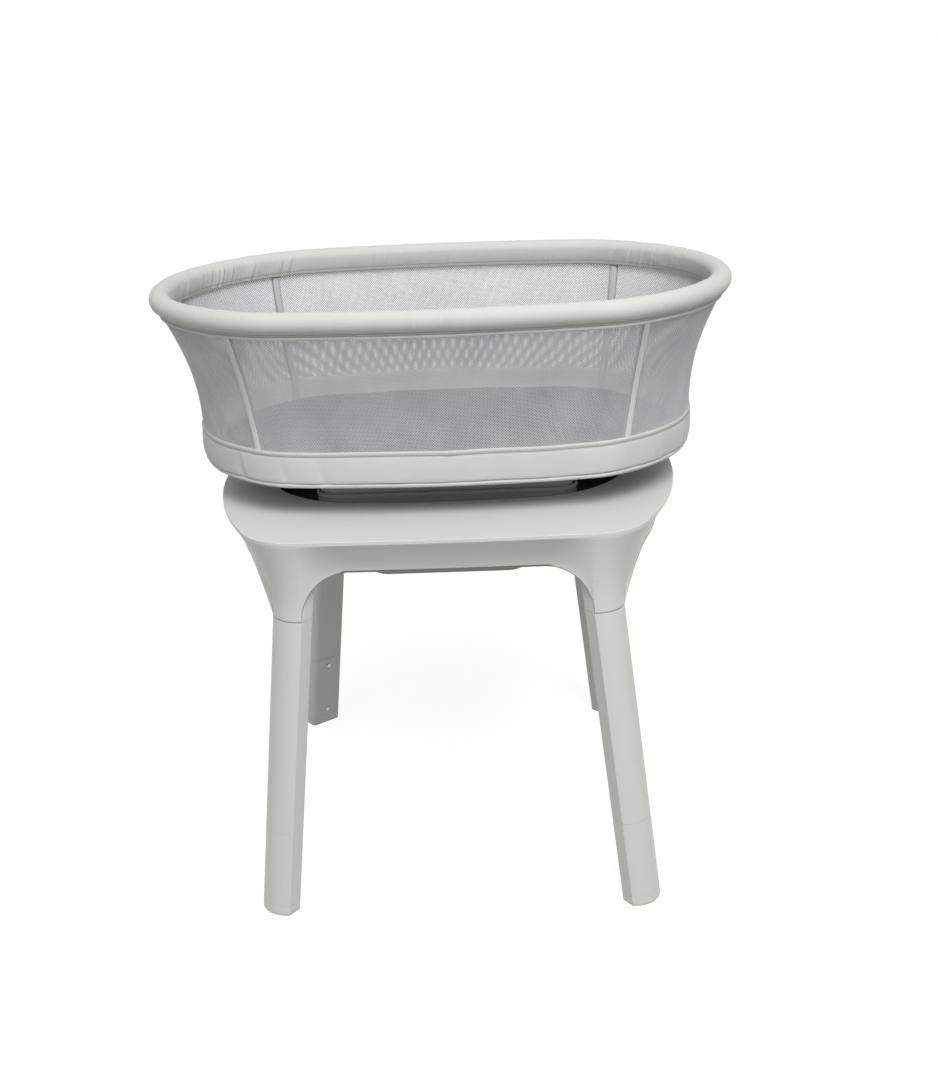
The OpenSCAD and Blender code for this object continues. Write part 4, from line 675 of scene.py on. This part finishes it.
def inflated(piece, voxel, pressure, cap):
    """The piece remeshed and blown up as cloth for 20 frames; no point moves further than cap, or
    lower than the board."""
    mesh = piece.data
    piece.modifiers.new("even", "REMESH").voxel_size = voxel
    depsgraph = bpy.context.evaluated_depsgraph_get()
    even = bpy.data.meshes.new_from_object(piece.evaluated_get(depsgraph))
    piece.modifiers.clear()
    piece.data = even
    bpy.data.meshes.remove(mesh)
    rest = np.empty(len(even.vertices) * 3)
    even.vertices.foreach_get("co", rest)
    cloth = piece.modifiers.new("cloth", "CLOTH")
    cloth.settings.use_pressure = True
    cloth.settings.uniform_pressure_force = pressure
    cloth.settings.effector_weights.gravity = 0
    cloth.settings.quality = 6
    for number in range(1, 21):
        bpy.context.scene.frame_set(number)
    depsgraph = bpy.context.evaluated_depsgraph_get()
    moved = np.empty_like(rest)
    piece.evaluated_get(depsgraph).data.vertices.foreach_get("co", moved)
    piece.modifiers.clear()
    bpy.context.scene.frame_set(1)
    rest, shift = rest.reshape(-1, 3), (moved - rest).reshape(-1, 3)
    length = np.linalg.norm(shift, axis=1, keepdims=True)
    final = rest + shift * np.minimum(1, cap / np.maximum(length, 1e-9))
    final[:, 2] = np.clip(final[:, 2], PAD_LOW, None)
    even.vertices.foreach_set("co", final.astype(np.float32).ravel())
    even.polygons.foreach_set("use_smooth", np.ones(len(even.polygons), bool))
    even.update()


pad = welded(make_piece("mattress_pad", *pad_form(PAD_INSET, PAD_THICK)))
inflated(pad, mm(6), 4.0, PAD_SWELL)
pad.modifiers.new("rounding", "SUBSURF").levels = 1
pad.modifiers["rounding"].render_levels = 1
knit = fabric("mattress knit", srgb(66, 70, 80), 3600, 0.34, 0.0002, sheen=0.3, own_uv=False)
pad.data.materials.append(knit)
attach(pad, "basket")
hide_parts("mattress")

# ---- Stand frame -----------------------------------------------------------------------------
# One moulded ring in grey plastic: a rail along each side whose face leans in below the deck's
# edge, and a socket at each corner that flares down into the leg. Arches join rails and sockets.

FINER = 3
# Steps along a row of the frame at which the leg begins and ends, and the row ends.
LEG_FIRST, LEG_LAST, ROW_END = 12 * FINER, 28 * FINER, 40 * FINER
OUTER_STEPS = 29
FLARE_N = 1.9
FRAME_TOP, RAIL_Z, SOCKET_Z, UNDER_Z, FRAME_FLOOR = mm(551, 505, 440, 500, 508)
RAIL_LEAN, RAIL_W, ARCH_R, FRAME_WALL = mm(23, 70, 62, 6)
DECK_A, DECK_B, DECK_END_R, DECK_CORNER_R, DECK_SIDE_R = mm(323, 293, 535, 79, 5800)
DECK_C, DECK_END_TURN, DECK_SIDE_TURN = tangent_arcs(DECK_A, DECK_B, DECK_END_R, DECK_CORNER_R, DECK_SIDE_R)
LEG_W, LEG_T, LEG_R, LEG_EDGE = mm(53, 34, 38, 6)
FOOT, SOCKET = np.array(mm(258, 279, 0)), np.array(mm(208, 257, 440))
LEG_WAY = (SOCKET - FOOT) / np.linalg.norm(SOCKET - FOOT)


def tilted(v):
    """A vector turned by the leg's tilt (Rodrigues: v cos a + k x v sin a + k (k.v)(1 - cos a))."""
    axis = np.array([-LEG_WAY[1], LEG_WAY[0], 0]) / np.hypot(*LEG_WAY[:2])
    lean = np.arccos(LEG_WAY[2])
    v = np.array(v)
    return v * np.cos(lean) + np.cross(axis, v) * np.sin(lean) + axis * (axis @ v) * (1 - np.cos(lean))


LEG_TURN = np.radians(38)
LEG_ACROSS = tilted([np.cos(LEG_TURN), -np.sin(LEG_TURN), 0.0])
LEG_OUT = tilted([np.sin(LEG_TURN), np.cos(LEG_TURN), 0.0])


def on_socket(p):
    """Points of the leg's surface at the socket's mouth, from places in the leg's section."""
    q = FOOT + LEG_ACROSS * p[:, :1] + LEG_OUT * p[:, 1:]
    return q + LEG_WAY * ((SOCKET_Z - q[:, 2:]) / LEG_WAY[2])


def leg_lines():
    """The section's curved outer line, an arc of the leg's radius, and its inner line between the
    same corners: end face, rounded edge, flat face, rounded edge, end face."""
    steps = 16 * FINER
    most = np.arcsin(LEG_W / 2 / LEG_R)
    a = np.linspace(-most, most, steps + 1)
    outer = np.stack([LEG_R * np.sin(a), LEG_T / 2 - LEG_R + LEG_R * np.cos(a)], -1)
    end_y = outer[0, 1]
    edge_x, edge_y = LEG_EDGE - LEG_W / 2, LEG_EDGE - LEG_T / 2
    run = np.arange(2 * FINER) / (2 * FINER)
    drop = np.stack([np.full(2 * FINER, -LEG_W / 2), end_y + (edge_y - end_y) * run], -1)
    b = np.linspace(np.pi, 1.5 * np.pi, 3 * FINER + 1)
    corner = np.stack([edge_x + LEG_EDGE * np.cos(b), edge_y + LEG_EDGE * np.sin(b)], -1)
    flat_x = edge_x * (1 - 2 * np.arange(1, 6 * FINER) / (6 * FINER))
    half = np.concatenate([drop, corner])
    flat = np.stack([flat_x, np.full_like(flat_x, -LEG_T / 2)], -1)
    return outer, np.concatenate([half, flat, half[::-1] * [-1, 1]])


def deck_line(at, axis):
    """Points of the deck's outline at places along X (axis 0) or Y (axis 1): on the side or the
    end arc, then past where they meet on the corner arc, the root of r^2 minus distance^2."""
    far, radius, turn = [(DECK_C[2], DECK_SIDE_R, np.cos(DECK_SIDE_TURN)),
                         (DECK_C[0], DECK_END_R, np.sin(DECK_END_TURN))][axis]
    corner, other = DECK_C[1], 1 - axis
    bow = far[other] + np.sqrt(radius**2 - at**2)
    bend = corner[other] + np.sqrt(np.clip(DECK_CORNER_R**2 - (at - corner[axis]) ** 2, 0, None))
    across = np.where(at < corner[axis] + DECK_CORNER_R * turn, bow, bend)
    return np.stack([at, across][:: 1 - 2 * axis], -1)


def deck_seen(angle):
    """Points of the deck's outline at an angle about the corner's centre: where a ray from there
    meets the end, corner or side circle, -m + sqrt(m^2 + r^2 - g^2) along it."""
    way = np.stack([np.cos(angle), np.sin(angle)], -1)
    reach = np.full(angle.shape, DECK_CORNER_R)
    for centre, radius, on in ((DECK_C[0], DECK_END_R, angle < DECK_END_TURN),
                               (DECK_C[2], DECK_SIDE_R, angle > DECK_SIDE_TURN)):
        gap = DECK_C[1] - centre
        m = way @ gap
        reach = np.where(on, -m + np.sqrt(m**2 + radius**2 - gap @ gap), reach)
    return DECK_C[1] + way * reach[..., None]


def frame_rows():
    """One quadrant of the frame as rows of points, from the back rail's middle round the leg to
    the end rail's middle. Outer face: c + lean + (d - c) share^n, from the lower edge c to the
    deck's edge d. Underside: a quarter wave from upright at c to level at the inner edge."""
    outer_line, inner_line = leg_lines()
    mouth_out, mouth_in = on_socket(outer_line), on_socket(inner_line)
    edge_a, edge_b = mouth_out[0], mouth_out[-1]
    share = np.arange(7 * FINER) / (7 * FINER)
    over, drop = np.sin(np.pi / 2 * share), 1 - np.cos(np.pi / 2 * share)
    mixed = drop * 0.4 + over * 0.6

    def rail_and_arch(leg_corner, axis):
        """Under the deck's edge as far as the arch, then a quarter wave down to the leg's corner."""
        inward = np.array([axis, 1 - axis]) * RAIL_LEAN
        places = (leg_corner[axis] - ARCH_R) * np.linspace(0, 1, 5 * FINER + 1)
        rail = np.insert(deck_line(places, axis) - inward, 2, RAIL_Z, 1)
        way = np.stack([over, mixed][:: 1 - 2 * axis] + [drop], -1)
        return np.concatenate([rail[:-1], rail[-1] + (leg_corner - rail[-1]) * way])

    back, end = rail_and_arch(edge_a, 0), rail_and_arch(edge_b, 1)
    lower_out = np.concatenate([back, mouth_out, end[::-1]])
    lower_in = np.concatenate([back, mouth_in, end[::-1]])
    i = np.arange(ROW_END + 1)
    over_leg, beside_leg = deck_line(edge_a[:1], 0)[0], deck_line(edge_b[1:2], 1)[0]
    turns = [np.arctan2(*(p - DECK_C[1])[::-1]) for p in (over_leg, beside_leg)]
    leg_share = np.clip((i - LEG_FIRST) / (LEG_LAST - LEG_FIRST), 0, 1)
    edge = np.where((i < LEG_FIRST)[:, None], deck_line(lower_out[:, 0], 0),
                    np.where((i > LEG_LAST)[:, None], deck_line(lower_out[:, 1], 1),
                             deck_seen(turns[0] + (turns[1] - turns[0]) * leg_share)))
    spread = 1 + 0.06 * np.sin(np.pi * i / ROW_END)[:, None]
    reach = np.array([DECK_A - RAIL_W, DECK_B - RAIL_W])
    inner = reach * np.minimum(1, edge / [DECK_A, DECK_B] * spread)
    bend = 1 + (FLARE_N - 1) * np.clip((1 - np.abs(i / FINER - 20) / 15 * 0.55) * 1.25, 0, 1)

    def lean(base, z):
        """How far a leg's surface at the base leans out by height z; nothing along the rails."""
        near = np.clip((RAIL_Z - base[:, 2]) / (RAIL_Z - SOCKET_Z), 0, None)
        return LEG_WAY[None] * ((z - base[:, 2]) / LEG_WAY[2] * near)[:, None]

    def outer_face(height_share, inset=0.0):
        """A row of the outer face at a share of its height, moved in towards the inner edge."""
        z = lower_out[:, 2] + (FRAME_TOP - lower_out[:, 2]) * height_share
        foot, full = lower_out[:, :2], lean(lower_out, np.full(len(i), FRAME_TOP))[:, :2]
        flat = foot + lean(lower_out, z)[:, :2] + (edge - foot - full) * (height_share**bend)[:, None]
        way = inner - edge
        return np.insert(flat + way / np.linalg.norm(way, axis=1, keepdims=True) * inset, 2, z, 1)

    def underside(step):
        """A row of the underside at a step from the lower edge, 0, to the inner edge, 1."""
        a = np.pi / 2 * step
        z = lower_in[:, 2] + (UNDER_Z - lower_in[:, 2]) * np.sin(a)
        on = np.where((z > lower_in[:, 2])[:, None], lean(lower_in, z), 0)
        near = np.clip((RAIL_Z - lower_in[:, 2]) / (RAIL_Z - SOCKET_Z), 0, None)
        out = (near * (1 - np.cos(a)) + (1 - near) * step)[:, None]
        return np.insert((lower_in[:, :2] + on[:, :2]) * (1 - out) + inner * out, 2, z, 1)

    def pocket(z):
        """A row of the pocket's wall, one wall's thickness inside the outer face."""
        at = np.clip((z - lower_out[:, 2]) / (FRAME_TOP - lower_out[:, 2]), 0, None)
        return np.insert(outer_face(at, FRAME_WALL)[:, :2], 2, z, 1)

    ones = np.ones(len(i))
    lip = mm(1.4) / (FRAME_TOP - lower_out[:, 2])
    rows = [pocket(FRAME_FLOOR), pocket(FRAME_TOP), outer_face(ones, mm(1.2)), outer_face(ones, mm(0.4)),
            outer_face(1 - lip * 0.6)]
    rows += [outer_face(ones * k) for k in np.linspace(1, 0, OUTER_STEPS)[1:-1]]
    rows += [outer_face(lip * 1.2), outer_face(lip * 0.35, mm(0.6)), outer_face(0 * ones, mm(1.3))]
    rows += [underside(k**1.5) for k in np.linspace(0, 1, 25)]
    rows.append(np.insert(inner, 2, FRAME_FLOOR, 1))
    return np.stack(rows)


def all_round(rows):
    """A quadrant's rows mirrored into whole rings."""
    ahead, back = rows[:, :-1], rows[:, :0:-1]
    return np.concatenate([ahead, back * [1, -1, 1], ahead * [-1, -1, 1], back * [-1, 1, 1]], 1)


def blended(rows):
    """Rows of the outer face with the corners between arches and leg evened out: 24 times each
    point moves halfway to the middle of its neighbours along the row, more the higher the row."""
    i = np.arange(rows.shape[1])
    near = np.exp(-((i[:, None] - [LEG_FIRST, LEG_LAST]) / (2.2 * FINER)) ** 2).sum(1)
    share = np.clip((rows[..., 2] - SOCKET_Z - mm(4)) / mm(50), 0, 1)
    k = np.arange(len(rows))
    level = np.clip((k - 3) / 2, 0, 1) * np.clip((OUTER_STEPS - k) / 2, 0, 1)
    pull = (near * share * level[:, None])[:, 1:-1, None] * 0.5
    for _ in range(24):
        middle = (rows[:, 2:] + rows[:, :-2]) / 2
        rows[:, 1:-1] += (middle - rows[:, 1:-1]) * pull
    return rows


frame_rings = all_round(blended(frame_rows()))
shell = welded(make_piece("stand_moulding", frame_rings, grid_quads(*frame_rings.shape[:2], True, True)))
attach(shell, "stand")
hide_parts("stand_frame")


def grain_group():
    """Moulded grain: fine noise for relief and roughness, a broad noise for faint clouding, small
    scuffs where a noise passes a level, and dust that settles on level faces."""
    group, given, result = socketed_group(
        "moulded grain",
        {"Vector": ("Vector", None), "Normal": ("Vector", None), "Colour": ("Color", (0.7, 0.7, 0.7, 1)),
         "Roughness": ("Float", 0.45), "Clouding": ("Float", 0.04), "Wear": ("Float", 0.05)},
        {"Colour": "Color", "Height": "Float", "Rough": "Float"})
    place, normal, colour, roughness, clouding, wear = given.outputs[:6]
    fine = noise(group, place, 1500.0, 2.0)
    broad = noise(group, place, 7.0, 4.0)
    scuff = noise(group, place, 55.0, 6.0, Roughness=0.7)
    worn = joined(group, "ShaderNodeMapRange", {0: scuff, 1: 0.62, 2: 0.75, 3: 0.0, 4: 1.0}).outputs[0]
    up = joined(group, "ShaderNodeSeparateXYZ", {0: normal}).outputs[2]
    dust = maths(group, "MULTIPLY", maths(group, "MAXIMUM", up, 0.0), broad)
    cloud = maths(group, "SUBTRACT", broad, 0.5)
    light = maths(group, "MULTIPLY_ADD", cloud, clouding, 1.0)
    light = maths(group, "SUBTRACT", light, maths(group, "MULTIPLY", worn, wear))
    rough = maths(group, "MULTIPLY_ADD", dust, 0.10, maths(group, "MULTIPLY_ADD", cloud, 0.16, roughness))
    feed(group, result, {
        "Colour": shaded(group, colour, light), "Height": fine,
        "Rough": maths(group, "MULTIPLY_ADD", worn, 0.12, rough)})
    return group


GRAIN = grain_group()
GRAIN_DEPTH, JOINT_DEPTH = mm(0.06, 4)


def moulded(name, colour, roughness, metal=0.0):
    """A moulded or cast surface in one colour, with the grain's relief; joints and corners a few
    millimetres deep are darkened by ambient occlusion, as painted shade."""
    material, tree, shader = new_material(name)
    place = joined(tree, "ShaderNodeTexCoord", {}).outputs
    grain = joined(tree, "ShaderNodeGroup", {
        "Vector": place["Object"], "Normal": place["Normal"], "Colour": colour,
        "Roughness": roughness}, node_tree=GRAIN).outputs
    relief = joined(tree, "ShaderNodeBump", {
        "Height": grain["Height"], "Distance": GRAIN_DEPTH, "Strength": 0.5})
    # Painted shade: ambient occlusion within JOINT_DEPTH darkens the colour in joints, grooves and inner
    # corners, down to a fifth.
    gap = joined(tree, "ShaderNodeAmbientOcclusion", {"Distance": JOINT_DEPTH}, samples=6)
    occlusion_shade = maths(tree, "MULTIPLY_ADD", gap.outputs["AO"], 0.8, 0.2)
    feed(tree, shader, {
        "Base Color": shaded(tree, grain["Colour"], occlusion_shade), "Roughness": grain["Rough"],
        "Normal": relief.outputs[0], "Metallic": metal})
    return material


stand_plastic = moulded("stand plastic", srgb(217, 220, 214), 0.40)
shell.data.materials.append(stand_plastic)

# ---- Moulded parts with rounded edges --------------------------------------------------------
# Deck, legs, caps, covers and buttons are injection moulded, so every edge has a small radius.
# The deck's outer edge is rounded over 2.6 mm; the legs' joints show as fine grooves.


def edge_bends(mesh):
    """Cosine of the angle between the two faces of each edge, 1 where there aren't two."""
    count = len(mesh.loops)
    edge_of, normal = np.empty(count, np.int32), np.empty(len(mesh.polygons) * 3)
    total = np.empty(len(mesh.polygons), np.int32)
    mesh.loops.foreach_get("edge_index", edge_of)
    mesh.polygons.foreach_get("normal", normal)
    mesh.polygons.foreach_get("loop_total", total)
    face_of = np.repeat(np.arange(len(total)), total)
    order = np.argsort(edge_of, kind="stable")
    sides = np.bincount(edge_of, minlength=len(mesh.edges))
    start = np.concatenate([[0], np.cumsum(sides)[:-1]])
    paired = sides == 2
    normal = normal.reshape(-1, 3)
    one, two = face_of[order[start[paired]]], face_of[order[start[paired] + 1]]
    bends = np.ones(len(mesh.edges))
    bends[paired] = (normal[one] * normal[two]).sum(1)
    return bends


def softened(node, name, radius, segments=2, radius_at=None):
    """A solid's copy with its loose triangles merged, flat faces joined, and its sharp edges
    rounded; radius_at(middles) gives each edge's own radius where they differ."""
    mesh = nodes[node].data.copy()
    work = bmesh.new()
    work.from_mesh(mesh)
    bmesh.ops.remove_doubles(work, verts=work.verts, dist=2e-6)
    bmesh.ops.dissolve_degenerate(work, edges=work.edges, dist=2e-6)
    bmesh.ops.dissolve_limit(work, angle_limit=np.radians(0.4), verts=work.verts, edges=work.edges)
    work.to_mesh(mesh)
    work.free()
    mesh.materials.clear()
    bends = edge_bends(mesh)
    ends = np.empty(len(mesh.edges) * 2, np.int32)
    mesh.edges.foreach_get("vertices", ends)
    spots = np.empty(len(mesh.vertices) * 3)
    mesh.vertices.foreach_get("co", spots)
    middles = spots.reshape(-1, 3)[ends.reshape(-1, 2)].mean(1)
    own = radius_at(middles) if radius_at else np.full(len(bends), radius)
    weights = np.where(bends < np.cos(np.radians(33)), own / radius, 0).astype(np.float32)
    mesh.attributes.new("bevel_weight_edge", "FLOAT", "EDGE").data.foreach_set("value", weights)
    mesh.polygons.foreach_set("use_smooth", np.ones(len(mesh.polygons), bool))
    piece = bpy.data.objects.new(name, mesh)
    bpy.context.scene.collection.objects.link(piece)
    rounding = piece.modifiers.new("rounded edges", "BEVEL")
    rounding.limit_method = "WEIGHT"
    rounding.width = radius
    rounding.segments = segments
    piece.modifiers.new("even shading", "WEIGHTED_NORMAL").keep_sharp = False
    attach(piece, BODY_OF[node])
    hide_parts(node)
    return piece


BODY_OF = {node: body for body, members in frame["record"]["behaviour"]["bodies"].items() for node in members}
DECK_Z = mm(556)
EDGE_X, EDGE_Y = mm(262, 245)
PANEL_X, PANEL_Y = mm(70, 195)
EDGE_R, RECESS_R, SMALL_R = mm(2.6, 1.5, 0.4)


def deck_edges(middles):
    """2.6 mm round the deck's upper outer edge, 1.5 mm round the recess, and 0.4 mm elsewhere and
    at the panel's hole."""
    top = middles[:, 2] > DECK_Z - mm(0.5)
    far = (np.abs(middles[:, 0]) > EDGE_X) | (np.abs(middles[:, 1]) > EDGE_Y)
    panel = (np.abs(middles[:, 0]) < PANEL_X) & (middles[:, 1] > PANEL_Y)
    return np.where(top & far, EDGE_R, np.where(top & ~panel, RECESS_R, SMALL_R))


deck = softened("deck_plate", "deck_top", EDGE_R, 4, deck_edges)
deck.data.materials.append(stand_plastic)

button_plastic = moulded("button plastic", srgb(225, 226, 222), 0.3)
panel_plastic = moulded("panel plastic", srgb(196, 198, 193), 0.35)
drive_plastic = moulded("drive plastic", srgb(190, 192, 184), 0.5)
skirt_plastic = moulded("skirt plastic", srgb(184, 186, 178), 0.5)
dark_plastic = moulded("dark plastic", srgb(40, 40, 40), 0.5)
snap_steel = moulded("snap button steel", srgb(205, 206, 205), 0.32, metal=0.6)
pan_plastic = moulded("pan plastic", srgb(176, 177, 172), 0.5)
SOFTENED = [
    ("leg", mm(1.3), stand_plastic), ("extension", mm(1.2), stand_plastic),
    ("foot_cap", mm(1.2), stand_plastic), ("snap", mm(0.9), snap_steel),
    ("button", mm(0.6), button_plastic), ("control_panel", mm(0.5), panel_plastic),
    ("drive_cover", mm(0.8), drive_plastic), ("lift_skirt", mm(0.8), skirt_plastic),
    ("belly_pan", mm(1.2), pan_plastic), ("power_jack", mm(0.5), dark_plastic)]
for row in frame["record"]["subparts"]:
    for ending, radius, plastic in SOFTENED:
        if row["node"].endswith(ending):
            part = softened(row["node"], row["node"] + "_moulding", radius)
            part.data.materials.append(plastic)

# ---- Metal, gears and boards inside ----------------------------------------------------------
# Ground steel rods and posts, brass pinions, painted plates and the circuit board keep their
# solids' shapes. The four spring steel stays bow with the seams they stand behind.

FINISHES = {
    "steel": moulded("ground steel", srgb(176, 177, 180), 0.28, metal=1.0),
    "black_steel": moulded("painted steel", srgb(92, 91, 84), 0.55),
    "brass": moulded("brass", srgb(196, 164, 98), 0.3, metal=1.0),
    "gear_plastic": moulded("gear plastic", srgb(226, 222, 208), 0.45),
    "board": moulded("floor board", srgb(120, 123, 128), 0.6),
    "circuit_board": moulded("circuit board", srgb(24, 86, 50), 0.35),
}
for row in frame["record"]["subparts"]:
    if row["material_slot"] in FINISHES:
        held = nodes[row["node"]].data.materials
        held.clear()
        held.append(FINISHES[row["material_slot"]])

STAY = np.array([[-1, -0.9], [-0.3, -0.85], [0.3, -0.85], [1, -0.9], [1, -3.9], [-1, -3.9]]) * [1, 0.001]
stays = tape_set("stay_strips", STAY, mm(606.8), mm(812.0), in_band, mm(4, 4))
stays.data.materials.append(FINISHES["steel"])
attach(stays, "basket")
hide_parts("upright_stays")

# ---- Studio ----------------------------------------------------------------------------------
# Plain white floor under one broad overhead light and an even pale sky. The floor shows the
# camera white and keeps the object's soft shadow.

scene = bpy.context.scene
FLOOR_HALF = 40.0
corners = np.array([[-1, -1, 0], [1, -1, 0], [1, 1, 0], [-1, 1, 0]]) * FLOOR_HALF
floor = make_piece("studio_floor", corners, [[0, 1, 2, 3]], smooth=False, closed=False)


def seen_directly(tree):
    """1 for rays from the camera and rays mirrored or let through on the way to it, else 0."""
    path = joined(tree, "ShaderNodeLightPath", {}).outputs
    mirrored = maths(tree, "MAXIMUM", path["Is Glossy Ray"], path["Is Transmission Ray"])
    return maths(tree, "MAXIMUM", path["Is Camera Ray"], mirrored)


FLOOR_GLOW, SKY_LIGHT = 0.84, 0.38
WHITE = (1, 1, 1, 1)
floor_material, tree, shader = new_material("floor")
feed(tree, shader, {"Base Color": (0.34, 0.34, 0.33, 1), "Roughness": 0.9, "Specular IOR Level": 0.0})
strength = maths(tree, "MULTIPLY", seen_directly(tree), FLOOR_GLOW)
glow = joined(tree, "ShaderNodeEmission", {"Color": WHITE, "Strength": strength})
whole = joined(tree, "ShaderNodeAddShader", {0: shader.outputs[0], 1: glow.outputs[0]})
feed(tree, tree.nodes["Material Output"], {"Surface": whole.outputs[0]})
floor.data.materials.append(floor_material)


def add_lamp(name, kind, aim, place=(0, 0, 0), **settings):
    """A lamp at a place, shining along a direction, with its light's settings."""
    light = bpy.data.lights.new(name, kind)
    for label, value in settings.items():
        setattr(light, label, value)
    lamp = bpy.data.objects.new(name, light)
    lamp.location = place
    lamp.rotation_euler = Vector(aim).to_track_quat("-Z", "Y").to_euler()
    scene.collection.objects.link(lamp)


add_lamp("fill", "SUN", (-0.05, 0.80, -0.95), energy=0.80, angle=np.radians(55))
add_lamp("key", "AREA", (-0.60, 1.90, -2.50), (0.60, -2.00, 3.05), shape="DISK", size=1.8, energy=58)

world = bpy.data.worlds.new("studio")
scene.world = world
world.use_nodes = True
tree = world.node_tree
sky = tree.nodes["Background"]
white = joined(tree, "ShaderNodeBackground", {"Color": WHITE, "Strength": 1.0})
mixed = joined(tree, "ShaderNodeMixShader", {0: seen_directly(tree), 1: sky.outputs[0], 2: white.outputs[0]})
feed(tree, tree.nodes["World Output"], {"Surface": mixed.outputs[0]})
feed(tree, sky, {"Color": WHITE, "Strength": SKY_LIGHT})

# ---- Camera ----------------------------------------------------------------------------------
# Stands to the right of the middle, above the rim, looking down a little and rolled slightly.

YAW, PITCH, TILT = -0.0204, 0.3706, -0.0403
EYE = (0.0643, -1.901, 1.173)
camera_data = bpy.data.cameras.new("camera")
camera_data.sensor_width = 36
camera_data.lens = 45.19
camera = bpy.data.objects.new("camera", camera_data)
aimed = Matrix.Rotation(-YAW, 4, "Z") @ Matrix.Rotation(np.pi / 2 - PITCH, 4, "X")
camera.matrix_world = Matrix.Translation(EYE) @ aimed @ Matrix.Rotation(TILT, 4, "Z")
scene.collection.objects.link(camera)
scene.camera = camera
scene.view_settings.view_transform = "Standard"
